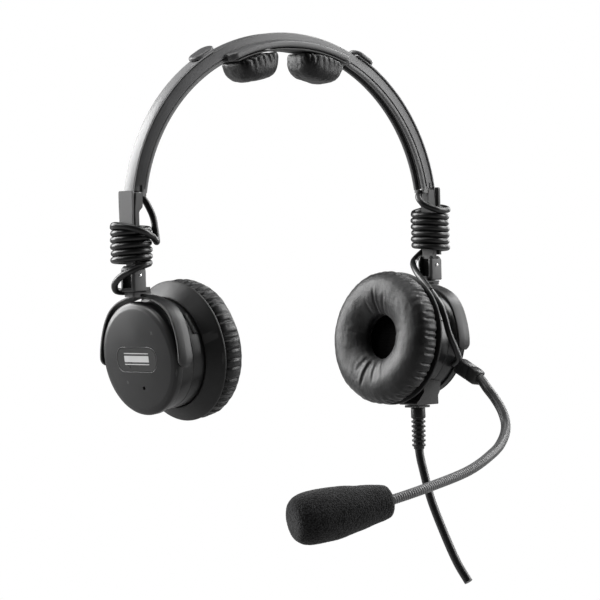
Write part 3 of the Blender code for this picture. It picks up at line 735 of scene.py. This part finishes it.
def swell(piece, voxel_mm, cap_mm, pinned):
    """Blows a padded piece up as cloth, then keeps the result. The piece is simulated at a
    larger scale, where cloth behaves, and no point moves further than the cap."""
    bpy.context.view_layer.objects.active = piece
    piece.data.transform(Matrix.Scale(CLOTH_SCALE, 4))
    piece.data.update()
    step = piece.modifiers.new("even", "REMESH")
    step.mode = "VOXEL"
    step.voxel_size = voxel_mm * MM * CLOTH_SCALE
    bake(piece)
    start = coords_of(piece)
    group = piece.vertex_groups.new(name="held")
    for i, point in enumerate(start):
        weight = pinned(Vector(point) / (MM * CLOTH_SCALE))
        if weight > 0:
            group.add([i], weight, "REPLACE")
    cloth = piece.modifiers.new("padding", "CLOTH")
    for key, value in CLOTH.items():
        setattr(cloth.settings, key, value)
    cloth.settings.effector_weights.gravity = 0
    cloth.point_cache.frame_start = 1
    cloth.point_cache.frame_end = CLOTH_FRAMES
    for number in range(1, CLOTH_FRAMES + 1):
        bpy.context.scene.frame_set(number)
    bake(piece)
    bpy.context.scene.frame_set(1)
    end = coords_of(piece)
    moved = end - start
    reach = np.linalg.norm(moved, axis=1)
    cap = cap_mm * MM * CLOTH_SCALE
    share = np.where(reach > 1e-9, cap * np.tanh(reach / cap) / np.maximum(reach, 1e-9), 0)
    final = (start + moved * share[:, None]) / CLOTH_SCALE
    piece.data.vertices.foreach_set("co", final.astype(np.float32).ravel())
    piece.data.update()


def coords_of(piece):
    co = np.zeros(len(piece.data.vertices) * 3, np.float32)
    piece.data.vertices.foreach_get("co", co)
    return co.reshape(-1, 3).astype(float)


def bake(piece):
    """Applies a piece's modifiers to its mesh."""
    seen = piece.evaluated_get(bpy.context.evaluated_depsgraph_get())
    mesh = bpy.data.meshes.new_from_object(seen)
    piece.modifiers.clear()
    piece.data = mesh


def subdivided(piece, levels):
    step = piece.modifiers.new("finer", "SUBSURF")
    step.levels = levels
    step.render_levels = levels
    bake(piece)


def shaped(piece, move):
    """Moves each point along its normal by move(point in millimetres)."""
    mesh = piece.data
    normals = [v.normal.copy() for v in mesh.vertices]
    for vertex, normal in zip(mesh.vertices, normals):
        vertex.co += normal * (move(vertex.co / MM) * MM)
    mesh.update()


def finish_soft(piece, look, body, place, replaces):
    """A soft piece takes its place, its look and its body."""
    mesh = piece.data
    mesh.transform(place)
    mesh.materials.clear()
    mesh.materials.append(LOOKS[look])
    mesh.shade_smooth()
    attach(piece, body)
    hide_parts(replaces)


def metric(place):
    """A placement in millimetres, for a mesh in metres."""
    made = place.copy()
    made.translation = made.translation * MM
    return made


CUSHION_PROFILE = (
    (20.8, -20.4), (32.2, -20.3), (33.6, -22.4), (33.7, -27.0), (32.0, -30.9), (28.5, -33.4),
    (24.0, -34.2), (18.4, -33.3), (13.5, -31.0), (11.0, -28.0), (11.2, -24.4), (13.4, -22.0),
    (20.6, -21.6),
)


PLEATS = 46
PLEAT_WIDTH = 0.72


def turn_between(angle, other):
    """The shorter way round from one angle to another."""
    return (angle - other + math.pi) % math.tau - math.pi


def fold(angle, radius, at, width, inner, outer):
    """How deep a radial fold is at a place, 0 to 1: a narrow valley that fades both ways."""
    across = turn_between(angle, at) * radius / width
    along = ease(inner[0], inner[1], radius) * (1 - ease(outer[0], outer[1], radius))
    return math.exp(-across * across) * along


def cushion_relief(seed, folds):
    """Pleats round the outer rim by the flange, and a few large folds in the funnel."""
    starts = []
    for i in range(PLEATS):
        shift = noise.noise(Vector((i * 1.7, seed, 0.3))) * 0.55
        starts.append(math.tau * (i + shift) / PLEATS)
    lengths = [0.75 + 0.5 * noise.noise(Vector((i * 0.9, seed + 5, 1.1))) for i in range(PLEATS)]

    def move(point):
        radius = math.hypot(point.x, point.y)
        angle = math.atan2(point.y, point.x)
        depth = point.z
        out = 0.0
        if radius > 28:
            fade = (1 - ease(-22.5, -20.0, depth) * 0.5) * ease(-32.6, -27.5, depth)
            nearest = round(angle % math.tau / math.tau * PLEATS)
            valley = 0.0
            for k in (nearest - 1, nearest, nearest + 1):
                long = lengths[k % PLEATS]
                across = turn_between(angle, starts[k % PLEATS]) * radius / PLEAT_WIDTH
                reach = ease(-34.0 + 2.6 / long, -27.0, depth)
                valley = max(valley, math.exp(-across * across) * reach * long)
            puff = 0.5 + 0.5 * math.cos(angle * PLEATS)
            out += fade * (0.30 * puff - 1.25 * valley)
        for at, width, share, inner, outer in folds if depth < -22 else ():
            deep = 0.5 * share
            out -= deep * fold(angle, radius, at, width, inner, outer)
            lip = at + 1.9 * width / max(radius, 1)
            out += deep * 0.45 * fold(angle, radius, lip, width * 1.1, inner, outer)
        lump = noise.noise(point * 0.11 + Vector((seed, 0, 0)))
        small = noise.noise(point * 0.35 + Vector((0, seed, 0)))
        out += 0.30 * lump + 0.07 * small
        return out

    return move


CUSHION_FOLDS = {
    "left": [
        (1.47, 0.80, 1.35, (11, 14), (20, 26)), (1.82, 1.0, 1.05, (11, 14), (18, 24)),
        (1.15, 0.9, 0.55, (11, 14), (17, 21)), (-1.30, 0.9, 1.15, (11, 14), (22, 29)),
        (-1.62, 0.8, 0.75, (11, 14), (19, 25)), (-1.95, 0.9, 0.60, (11, 14), (18, 24)),
        (-1.02, 1.0, 0.50, (11, 14), (17, 22)), (0.15, 1.1, 0.30, (11, 14), (17, 21)),
        (3.0, 1.1, 0.35, (11, 14), (17, 21)),
    ],
    "right": [
        (1.60, 0.85, 1.20, (11, 14), (20, 26)), (1.20, 0.9, 0.70, (11, 14), (18, 23)),
        (-1.50, 0.85, 1.1, (11, 14), (21, 28)), (-1.10, 0.9, 0.65, (11, 14), (18, 24)),
        (-1.85, 0.9, 0.50, (11, 14), (17, 22)), (2.9, 1.1, 0.4, (11, 14), (17, 21)),
    ],
}


def build_cushion(name):
    piece = loose(f"{name}_cushion_leather", turned(CUSHION_PROFILE, 1.2, steps=72))

    def held(point):
        return 1.0 if point.z > -21.9 else 0.0

    swell(piece, voxel_mm=1.5, cap_mm=1.3, pinned=held)
    subdivided(piece, 2)
    # local X of the turned shape points down, so angles are counted from there
    shaped(piece, cushion_relief({"left": 3.0, "right": 8.0}[name], CUSHION_FOLDS[name]))
    place = SIDE[name] @ TO_CUP @ TURN_OUT @ about("Z", math.pi / 2)
    finish_soft(piece, "leather", f"{name}_cup", metric(place), f"{name}_ear_cushion")


def pad_ring(t):
    """Outline of a head pad across the arch, at a share t of its half length."""
    swell_out = max(0.0, 1 - abs(t) ** 3.4) ** 0.5
    half = 10.2 * (0.60 + 0.40 * swell_out)
    top = 9.3
    low = top + 12.3 * (0.34 + 0.66 * swell_out)
    points = [(half - 0.8, top), (half - 0.1, top + 1.2), (half, top + 3.0),
              (half - 0.1, low - 4.6), (half - 1.0, low - 2.4), (half - 3.2, low - 0.6),
              (half - 6.0, low)]
    return mirrored([(max(0.4, y), d) for y, d in points])


def build_head_pad(name, side):
    rings = [arch_ring(side * arch_angle(HEAD_PAD_X + HEAD_PAD_REACH * t), pad_ring(t))
             for t in spread(-1, 1, 28)]
    piece = loose(f"{name}_head_pad_leather", skinned(rings))
    middle, facing = arch_frame(side * arch_angle(HEAD_PAD_X))

    def held(point):
        return 1.0 if (middle - point).dot(facing) < 10.3 else 0.0

    swell(piece, voxel_mm=1.2, cap_mm=1.1, pinned=held)
    subdivided(piece, 1)
    seed = 2.0 + side

    def move(point):
        below = (middle - point).dot(facing)
        along = (point - middle).dot(Vector((facing.z, 0, -facing.x)))
        wave = along / 1.55 + 1.1 * noise.noise(Vector((along * 0.25, point.y * 0.3, seed)))
        gather = abs(math.sin(wave * 1.35))
        near = (1 - ease(10.0, 16.5, below)) * ease(8.6, 10.0, below)
        side_on = ease(3.5, 8.0, abs(point.y)) + ease(8.0, 13.0, abs(along))
        pleat = -0.85 * (1 - gather) ** 2 * near * min(1.0, side_on)
        lump = 0.45 * noise.noise(point * 0.13 + Vector((seed, 0, 0)))
        crease = 0.14 * noise.noise(Vector((along * 0.9, point.y * 0.5, below * 0.35 + seed)))
        return pleat + lump + crease

    shaped(piece, move)
    finish_soft(piece, "pad_leather", "headband", STILL, f"{name}_head_pad")


# ---------------------------------------------------------------- arms

def build_arm(name, turn):
    body = f"{name}_arm"
    half = [(4.75, 44.3), (4.75, 65.2), (4.77, 67.0), (4.86, 69.0), (4.95, 71.2), (4.95, 77.7)]
    half += [(4.86, 78.3), (4.6, 78.75), (4.1, 78.95)]
    outline = from_ear(half)
    outline += [(-y, z) for y, z in reversed(outline)]
    cover = block(outline, 101.2, 102.4, 0.32, plane="YZ", least=0.9)
    emit(f"{name}_arm_cover_plate", cover, "arm", body, turn, replaces=f"{name}_arm_cover",
         sharp=40)
    profile = [(95.0, 77.8), (95.0, 71.8), (95.3, 70.9), (96.9, 69.4), (97.3, 68.6),
               (97.3, 36.3), (99.6, 36.3), (99.6, 70.0), (98.8, 77.8)]
    inner = block(from_ear(profile), -3.95, 3.95, 0.4, least=0.7)
    emit(f"{name}_arm_body_moulding", inner, "arm", body, turn, replaces=f"{name}_arm_body",
         sharp=40)


def build_block(name, turn):
    """Block at the arm's foot: soft corners, tapered top, open on the inner side."""
    body = f"{name}_arm"
    low, high = EAR.z + 31.3, EAR.z + 43.6
    rings = []
    for z, inset in ((low, 0.55), (low + 0.15, 0.25), (low + 0.5, 0.0), (high - 2.4, 0.0),
                     (high - 1.7, 0.15), (high - 0.9, 0.6), (high - 0.3, 1.15), (high, 1.6)):
        outline = oblong(8.3 - inset, 10.0 - 2 * inset, 1.25, steps=5)
        rings.append([(BLOCK_X + x, y, z) for x, y in outline])
    piece = emit(f"{name}_arm_block_moulding", skinned(rings), "block", body, turn,
                 replaces=f"{name}_arm_block")
    pocket = block(rectangle((97.0, 100.0), (EAR.z + 35.9, high + 3)), -4.3, 4.3)
    channel = block(oblong(4.5, 24.0, 0.9, 4), -3.2, 3.2)
    shift = set_at((94.0, 0, low + 1.7 + 12.0))
    recess = block(oblong(2.7, 8.4, 0.5, 4), -3.2, 3.2)
    middle = set_at((102.65, 0, (low + high) / 2 - 0.25))
    cut(piece, cutter(pocket, turn), cutter(channel, turn @ shift),
        cutter(recess, turn @ middle))
    # Near-black sheets on the floors of the outer recess and the inner channel: painted shade
    # standing in for the shadow in these hollows.
    for i, (x, height) in enumerate(((101.35, 7.6), (96.05, 9.0))):
        shade_sheet = block(oblong(5.8, height, 0.4, 3), x - 0.08, x + 0.08, plane="YZ")
        emit(f"{name}_block_shade_sheet_{i}", shade_sheet, "cloth", body,
             turn @ set_at((0, 0, low + 1.9 + height / 2)))
    end = 5.45
    pin = turned([(0, -end), (0.45, -end), (0.9, -end + 0.28), (0.9, end - 0.28),
                  (0.45, end), (0, end)], 0.12, 32)
    place = turn @ set_at((BLOCK_X, 0, EAR.z + 39)) @ about("X", math.pi / 2)
    emit(f"{name}_block_rivet", pin, "steel", body, place, replaces=f"{name}_block_pin")


COIL_Z = {"left": (47.0, 65.2), "right": (44.7, 62.0)}
COIL_STARTS = {"left": 0.14, "right": 0.36}
COIL_TURNS = {"left": -5.75, "right": 5.5}
LEADS = {
    "left": ((97.6, 8.8, 66.3), (104.6, 7.4, 67.8), (109.0, 1.6, 68.6), (104.4, -8.0, 67.3),
             (96.4, -9.3, 67.3), (90.4, -5.6, 70.0), (89.6, -2.0, 73.6), (92.4, 0, 76.6)),
    "right": ((109.3, 0.5, 62.8), (106.8, 8.1, 61.8), (101.5, 11.6, 59.6), (96.6, 11.8, 57.4),
              (92.8, 10.0, 55.4), (90.6, 8.2, 54.6), (89.3, 6.6, 56.2), (88.9, 5.4, 60.2),
              (89.0, 4.0, 66.4), (90.6, 1.8, 72.6), (92.6, 0, 76.6)),
}
TAILS = {
    "left": ((104.45, 6.7, 46.95), (103.3, 7.6, 46.7), (101.6, 8.4, 45.7), (99.2, 8.8, 44.0),
             (96.6, 8.5, 42.4), (94.0, 7.3, 41.0), (91.0, 4.4, 39.2), (88.6, 1.0, 37.4),
             (86.6, -2.6, 35.3), (85.0, -6.6, 33.0), (83.4, -11.2, 30.3), (81.0, -17.8, 26.2)),
    "right": ((94.35, 6.7, 44.65), (95.4, 7.5, 44.4), (98.9, 8.6, 43.7), (104.6, 6.9, 41.6),
              (107.2, 1.2, 38.6), (107.0, -3.6, 35.2), (104.6, -6.0, 32.2),
              (99.6, -7.4, 31.3), (94.0, -8.6, 31.4)),
}
ENTRIES = {
    "left": ((80.9, -18.2, 25.9), (80.5, -24.9, 19.0), (80.3, -28.3, 12.4), (81.2, -30.2, 4.3),
             (84.0, -31.4, -3.0), (86.4, -31.0, -8.5), (87.0, -26.8, -11.2)),
    "right": ((93.6, -8.65, 31.35), (88.5, -8.8, 30.7), (85.7, -8.6, 28.9), (85.2, -8.2, 27.4)),
}


def flex(piece, turn):
    """Bakes a cable's placement into its mesh."""
    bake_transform(piece)


def build_coil(name, turn):
    """Six turns of cable round the arm, not quite even, then the lead to the arch."""
    low, high = COIL_Z[name]
    turns = COIL_TURNS[name]
    count = round(abs(turns) * 36)
    path = []
    for i in range(count + 1):
        angle = math.tau * (COIL_STARTS[name] + turns * i / count)
        height = low + (high - low) * i / count
        sway = 0.20 * math.sin(i / 15.6 + 1.0)
        path.append(Vector((COIL_X + sway + COIL_RADIUS * math.cos(angle),
                            COIL_RADIUS * math.sin(angle), EAR.z + height)))
    path += smooth_path([path[-1], *from_ear(LEADS[name])], 14)[1:]
    piece = emit(f"{name}_coil_cable_sheath", tube(path, CABLE_RADIUS, 18), "cable", None, turn,
                 replaces=f"{name}_coil_cable", sharp=60)
    flex(piece, turn)


def build_lower_cable(name, turn):
    for part, knots, before, body in (("tail", TAILS, "arm", "fork"),
                                      ("entry", ENTRIES, "fork", "cup")):
        points = [Vector(point) for point in from_ear(knots[name])]
        piece = emit(f"{name}_{part}_cable_sheath",
                     tube(smooth_path(points, 12), CABLE_RADIUS, 18), "cable", None, turn,
                     replaces=f"{name}_{part}_cable", sharp=60)
        flex(piece, turn)


# ---------------------------------------------------------------- forks

def build_yoke(name, turn):
    """Stirrup with a crowned outer face and a stud inside each tip."""
    rings = []
    outline = rounded([(-4, 28.3), (4, 28.3), (4, 29.7), (0, 29.95), (-4, 29.7)], 0.45, True)
    for angle in spread(-98, 98, 110):
        past = max(0.0, abs(angle) - 91) / 7
        narrow = math.sqrt(max(0.0, 1 - (0.93 * past) ** 2))
        spin = math.radians(angle)
        bulge = 1.4 * math.sin(2 * spin) ** 4
        rings.append([(YOKE_X + x * narrow, (r + bulge) * math.sin(spin),
                       EAR.z + (r + bulge) * math.cos(spin))
                      for x, r in outline])
    body = f"{name}_fork"
    emit(f"{name}_yoke_stirrup", skinned(rings), "yoke", body, turn, replaces=f"{name}_yoke",
         sharp=50)
    for i, side in enumerate((-1, 1)):
        stud = turned([(0, 24.6), (1.2, 24.6), (1.2, 28.6), (0, 28.6)], 0.1, 32)
        place = turn @ set_at(EAR) @ about("X", side * math.pi / 2)
        emit(f"{name}_yoke_stud_{i}", stud, "steel", body, place)


def build_stem(name, turn):
    """Swivel collar under the block, its post, and the toothed stop on the inner side."""
    body = f"{name}_fork"
    base = EAR.z + 30.15
    collar = block([(x + 96.3, y) for x, y in oblong(11.3, 7.6, 1.0, 4)], base, EAR.z + 31.0,
                   0.18, plane="XY", least=0.9)
    emit(f"{name}_swivel_collar", collar, "arm", body, turn, replaces=f"{name}_swivel_stem")
    step = block([(x + 99.4, y) for x, y in oblong(4.8, 7.0, 0.8, 4)], base - 1.3, base + 0.3,
                 0.18, plane="XY", least=0.9)
    emit(f"{name}_swivel_step", step, "arm", body, turn)
    post = turned([(0, 0), (2.2, 0), (2.2, 3.4), (0, 3.4)], 0.2, 48)
    emit(f"{name}_swivel_post", post, "arm", body,
         turn @ set_at((SWIVEL.x, 0, EAR.z + 30.8)))
    teeth = []
    for i in range(4):
        y = -2.85 + 1.55 * i
        teeth += [(y, 2.1), (y + 0.1, 3.05), (y + 1.0, 3.05), (y + 1.1, 2.1)]
    outline = [(-3.0, 0.0), (-3.0, 2.0), *teeth, (3.0, 2.0), (3.0, 0.0)]
    outline = [(y, z + EAR.z + 30.3) for y, z in outline]
    stop = block(outline, 90.9, 93.5, 0.14, plane="YZ", least=0.9, segments=2)
    emit(f"{name}_swivel_stop", stop, "arm", body, turn)


# ---------------------------------------------------------------- cups

def build_cup(name):
    body = f"{name}_cup"
    cup = SIDE[name] @ TO_CUP
    out = cup @ TURN_OUT
    boom_side = name == "left"
    housing = turned([
        (24.0, -17.6), (26.0, -17.6), (26.0, -5.9), (25.82, -5.75), (25.82, -5.45),
        (26.0, -5.3), (26.0, 1.7), (22.0, 1.7), (22.0, 4.6), (20.5, 4.6), (20.5, 0.2),
        (24.0, 0.2),
    ], 0.12, 128)
    shell = emit(f"{name}_housing_shell", housing, "gloss", body, out,
                 replaces=f"{name}_housing")
    pivots = turned([(0, -30), (1.3, -30), (1.3, 30), (0, 30)], steps=32)
    cut(shell, cutter(pivots, cup @ about("X", math.pi / 2)))
    for i, y in enumerate((-20.6, 20.6)):
        top = [(-11.2, 0.2), (-8.8, 0.2), (-8.8, 0.62), (-9.1, 0.8), (-10.9, 0.8), (-11.2, 0.62)]
        spin = math.atan2(y, 14.0)
        rib = block([(x, z + 25.6) for x, z in top], -5.5, 5.5, 0.12, least=0.6)
        emit(f"{name}_housing_rib_{i}", rib, "gloss", body, cup @ about("X", -spin))
    build_cap(name, body, cup, out, 4.9 if boom_side else 1.95)
    flange = turned([
        (26.3, -12.5), (27.2, -12.5), (33.0, -17.5), (33.9, -18.4), (33.9, -19.4),
        (12.0, -19.4), (12.0, -17.9), (26.3, -17.9),
    ], 0.3, 128)
    emit(f"{name}_flange_cone", flange, "dark", body, out, replaces=f"{name}_baffle_flange")
    disc = turned([(0, -20.9), (19.4, -20.9), (20.0, -20.6), (20.0, -19.9), (0, -19.7)], 0.15, 96)
    emit(f"{name}_speaker_cloth", disc, "cloth", body, out, replaces=f"{name}_sound_disc")


def dome(radius):
    """Height of the cap's outer face at a radius."""
    return 7.9 - 1.28 * (radius / 24) ** 2


def build_cap(name, body, cup, out, skirt_from):
    """Outer cover: a shallow dome with a rolled rim, a badge recess and a sound port."""
    rim = max(skirt_from, 4.4)
    skirt = [(25.8, skirt_from), (25.8, 4.4)] if skirt_from < 4 else []
    profile = [(r, dome(r)) for r in spread(0, 24, 16)]
    profile += [(25.8, 6.1), (26.7, 5.5), (27.05, 4.9), (27.1, rim + 0.1), (27.1, skirt_from),
               *skirt, (22.4, 4.9), (12, 6.1), (0, 6.3)]
    cap = emit(f"{name}_cap_cover", turned(profile, 0.35, 160), "cap", body, out,
               replaces=f"{name}_outer_cap")
    recess = block(oblong(29.4, 12.0, 5.0), 7.0, 9.0, plane="YZ")
    port = block(oblong(1.7, 1.7, 0.3, 3), 4.0, 9.0, plane="YZ")
    shift = set_at((0, 3.0, -13.6))
    cut(cap, cutter(recess, cup), cutter(port, cup @ shift))
    plate = block(oblong(28.4, 11.0, 4.5, 10), 7.05, 7.5, 0.15, plane="YZ", least=0.9)
    emit(f"{name}_badge_plate", plate, "badge", body, cup, replaces=f"{name}_badge")
    build_badge_print(name, body, cup)


def build_badge_print(name, body, cup):
    """Generic print on the badge: one plain broad bar between two thin lines."""
    for i, (height, low) in enumerate(((0.45, 3.0), (3.0, -0.9), (0.45, -2.2))):
        bar = block(oblong(18.0, height, min(0.2, height * 0.4), 3), 7.45, 7.54, plane="YZ")
        middle = set_at((0, 0, low + height / 2 - 0.3))
        emit(f"{name}_badge_bar_{i}", bar, "print", body, cup @ middle)
    outline = oblong(29.2, 11.8, 4.95, 12)
    rings = []
    for y, z in outline:
        normal = Vector((0, y, z)).normalized()
        top = dome(math.hypot(y, z))
        rings.append([Vector((top + 0.10 * math.cos(a), y, z)) + normal * (0.10 * math.sin(a))
                      for a in (math.tau * k / 6 for k in range(6))])
    rings.append(rings[0])
    rim = skinned(rings, cap=False)
    bmesh.ops.remove_doubles(rim, verts=rim.verts, dist=0.0005)
    emit(f"{name}_badge_rim", rim, "rim", body, cup)


def build_boss():
    """Cable boss moulded under the left housing, its clamp plate and the strain relief."""
    cup = TO_CUP
    outline = rounded([(-12.0, -20.0), (-12.0, -26.9), (-16.6, -32.9), (-15.8, -33.6),
                       (-1.1, -31.9), (-1.8, -27.5), (-0.6, -25.0), (-0.6, -20.0)], 0.6, True, 3)
    boss = block(outline, -16.7, -3.6, 0.35, least=0.7)
    emit("left_cable_boss", boss, "dark", "left_cup", cup, sharp=40)
    untilt = cup @ about("Y", -CUP_TILT)
    plate = block(oblong(8.8, 10.4, 1.0, 4), -1.1, 0, 0.25, plane="XY", least=0.9)
    place = untilt @ set_at((77.0 - EAR.x, -10.2, -31.9))
    emit("clamp_plate_moulding", plate, "arm", "left_cup", place, replaces="clamp_plate")
    bore = 2.32
    profile = [(bore, 0), (3.7, 0), (3.7, -4.8), (3.45, -5.2), (2.75, -5.5)]
    for i in range(6):
        top = -6.3 - 2.4 * i
        wide = 3.62 - 0.03 * i
        profile += [(2.7, top), (wide - 0.15, top - 0.05), (wide, top - 0.3),
                    (wide, top - 0.95), (wide - 0.15, top - 1.2), (2.7, top - 1.28)]
    profile += [(2.65, -20.7), (2.4, -21.0), (bore, -21.0)]
    place = untilt @ set_at((77.4 - EAR.x, -10.3, -33.3))
    emit("strain_relief_rubber", turned(profile, 0.12, 56), "rubber", "left_cup", place,
         replaces="strain_relief")
    knots = ((77.4, -10.3, -34.1), (77.4, -10.3, -45.0), (77.4, -10.5, -55.6),
             (77.9, -12.8, -66.0), (79.3, -16.3, -80.2), (81.0, -23.0, -96.5),
             (82.7, -30.0, -111.0), (84.3, -36.5, -121.0))
    path = smooth_path(from_ear(knots), 14)
    emit("down_lead_sheath", tube(path, LEAD_RADIUS, 24), "cable", "left_cup",
         replaces="down_lead", sharp=60)


# ---------------------------------------------------------------- boom

BOOM_ANGLE = math.radians(24.5)
BOOM_REACH = ((91.0, -46.6, -23.6), (91.2, -51.6, -28.6), (90.4, -57.2, -35.0),
              (87.8, -61.8, -42.0), (80.8, -65.9, -48.3), (70.4, -69.2, -53.8),
              (49.8, -72.0, -61.2), (20.7, -72.0, -67.4), (0.0, -67.8, -72.1))
WINDSCREEN_TIP = (-48.0, -50.5, -79.4)
# Reach from the cup's axis, thickness and width of the block that grips the gooseneck.
BOOM_BLOCK = ((25.0, 2.3, 6.6), (27.3, 2.4, 6.7), (28.1, 5.2, 7.2), (28.7, 6.2, 7.6),
              (29.6, 6.4, 7.8), (37.2, 6.4, 7.8), (37.6, 6.0, 7.4), (38.0, 6.0, 7.4),
              (38.4, 6.4, 7.8), (43.1, 6.3, 7.7), (43.8, 5.9, 7.3), (44.2, 5.2, 6.6))
BOOM_OFFSET = set_at((3.3, 0, 0))


def build_boom_block():
    """Ring round the housing's neck and the two-part block that grips the gooseneck."""
    cup = TO_CUP
    ring = turned([(22.15, 1.95), (26.9, 1.95), (26.9, 4.6), (22.15, 4.6)], 0.25, 128)
    emit("boom_ring", ring, "black", "boom", cup @ TURN_OUT, replaces="boom_swivel")
    rings = []
    for r, thick, wide in BOOM_BLOCK:
        outline = oblong(thick, wide, 0.7 if thick < 3 else 1.1, 4)
        rings.append([(x, y, -r) for x, y in outline])
    ahead = cup @ BOOM_OFFSET @ about("X", BOOM_ANGLE - math.pi / 2)
    emit("boom_block", skinned(rings), "black", "boom", ahead, sharp=40)


def build_gooseneck():
    """Sleeve with a fine helical thread that grows out of its smooth root."""
    out = Vector((0, -math.cos(BOOM_ANGLE), -math.sin(BOOM_ANGLE)))
    root = [TO_CUP @ BOOM_OFFSET @ (out * r) for r in (36.4, 40.0, 43.0, 46.0)]
    reach = [Vector(point) for point in from_ear(BOOM_REACH)]
    tip = Vector(from_ear([WINDSCREEN_TIP])[0])
    along = (tip - reach[-1]).normalized()
    path = even_path(smooth_path(root + reach + [reach[-1] + along * 5], 24), 0.19)
    pitch = 1.25

    def radius(length, angle):
        rib = 0.5 + 0.5 * math.cos(math.tau * length / pitch - angle)
        depth = 0.16 * ease(58, 84, length)
        return 2.5 - depth * (1 - rib ** 0.7)

    emit("gooseneck_sleeve", tube(path, radius, 20), "gooseneck", "boom", replaces="gooseneck",
         sharp=0)
    return reach[-1] + along * 5, along


def build_windscreen(end, along):
    """Foam bulb: slightly lumpy, with open pores and a soft rolled mouth."""
    profile = [
        (0, 16.2), (5.0, 16.0), (5.0, 2.0), (4.2, -2.0), (3.4, -4.2), (4.4, -5.0), (6.3, -4.8),
        (7.8, -3.5), (8.6, -1.0), (9.4, 3.0), (10.6, 10.5), (11.8, 18.0), (12.6, 25.0),
        (12.95, 31.0), (12.85, 36.0), (12.2, 40.3), (10.6, 43.6), (7.6, 45.7), (0, 46.4),
    ]
    path = smooth_path([(r, 0, z) for r, z in profile[6:]], 16)
    fine = [(p.x, p.z) for p in path]
    fine[-1] = (0, fine[-1][1])
    bm = turned([*profile[:6], *fine], steps=200)
    piece = loose("windscreen_foam", bm)

    def move(point):
        if point.z > -3.0 and math.hypot(point.x, point.y) < 6 and point.z < 17:
            return 0.0
        lump = noise.noise(point * 0.12)
        pore = noise.cell(point * 1.25)
        cells, _ = noise.voronoi(point * 0.95)
        return 0.25 * lump - 0.16 * max(0.0, 0.55 - cells[0]) - 0.05 * pore

    shaped(piece, move)
    turn = along.to_track_quat("Z", "Y").to_matrix().to_4x4()
    finish_soft(piece, "foam", "boom", metric(set_at(end) @ turn), "windscreen")


# ---------------------------------------------------------------- stage

def dress_hidden_nodes():
    """The CAD's inner nodes keep their shape and get a steel finish."""
    for node in ("left_speaker", "right_speaker", "mic_capsule"):
        mesh = frame["nodes"][node].data
        mesh.materials.clear()
        mesh.materials.append(LOOKS["steel"])


# Name, place and size in metres, and power in watts.
SOFTBOXES = (
    ("rear_left_box", (-0.60, 1.25, 0.45), (0.9, 1.2), 35),
    ("right_box", (1.06, -0.80, 0.30), (0.7, 0.9), 13),
    ("high_right_box", (0.95, -0.25, 0.85), (0.5, 0.5), 9),
    ("far_right_box", (1.35, 0.25, 0.25), (0.4, 1.0), 8),
    ("top_box", (-0.10, 0.10, 1.40), (1.0, 1.0), 10),
    ("left_box", (-1.20, 0.45, 0.80), (0.5, 0.7), 7),
)
OBJECT_MIDDLE = Vector((0, 0, -0.10))


def softbox(name, place, size, power):
    light = bpy.data.lights.new(name, "AREA")
    light.shape = "RECTANGLE"
    light.size, light.size_y = size
    light.energy = power
    made = linked(name, light)
    made.location = place
    made.rotation_euler = (OBJECT_MIDDLE - place).to_track_quat("-Z", "Y").to_euler()


def build_stage():
    """Pale sweep of floor, a white surround and soft boxes on both sides."""
    bm = bmesh.new()
    bmesh.ops.create_grid(bm, x_segments=8, y_segments=8, size=12)
    mesh = bpy.data.meshes.new("floor")
    bm.to_mesh(mesh)
    bm.free()
    mesh.materials.append(floor_look())
    floor = linked("floor", mesh)
    floor.location = (0, 0, CAD_BOX[0].z - 0.12)
    world = bpy.data.worlds.new("studio")
    bpy.context.scene.world = world
    world.use_nodes = True
    tree = world.node_tree
    shown = tree.nodes["Background"]
    shown.inputs["Strength"].default_value = 1.0
    shown.inputs["Color"].default_value = (1, 1, 1, 1)
    lit = tree.nodes.new("ShaderNodeBackground")
    lit.inputs["Strength"].default_value = 0.035
    shown_to_camera(tree, lit.outputs["Background"], shown.outputs["Background"],
                    "World Output")
    for name, place, size, power in SOFTBOXES:
        softbox(name, Vector(place), size, power)


def build_camera():
    """Seen from the front and the wearer's right, a little above the ears."""
    camera = bpy.data.cameras.new("camera")
    camera.lens = 183.19
    camera.sensor_width = 36.0
    camera.clip_end = 100
    made = linked("camera", camera)
    right = Vector((0.73866, -0.67359, -0.02565))
    up = Vector((0.03263, -0.00228, 0.99946))
    back = Vector((-0.67328, -0.73911, 0.02029))
    place = Vector((-1011.66, -1118.65, 54.64 + EAR.z)) * MM
    turn = Matrix((right, up, back)).transposed().to_4x4()
    made.matrix_world = set_at(place) @ turn
    bpy.context.scene.camera = made
    bpy.context.scene.view_settings.view_transform = "Standard"


def build_all():
    build_band()
    build_saddle()
    build_pad_plate()
    build_band_cable()
    for name, side in (("left", 1), ("right", -1)):
        build_head_pad(name, side)
        for build in (build_strip, build_clip, build_arm, build_block, build_coil,
                      build_lower_cable, build_yoke, build_stem):
            build(name, SIDE[name])
        build_cup(name)
        build_cushion(name)
    build_boss()
    build_boom_block()
    end, along = build_gooseneck()
    build_windscreen(end, along)
    dress_hidden_nodes()
    build_stage()
    build_camera()


build_all()
bpy.context.view_layer.update()
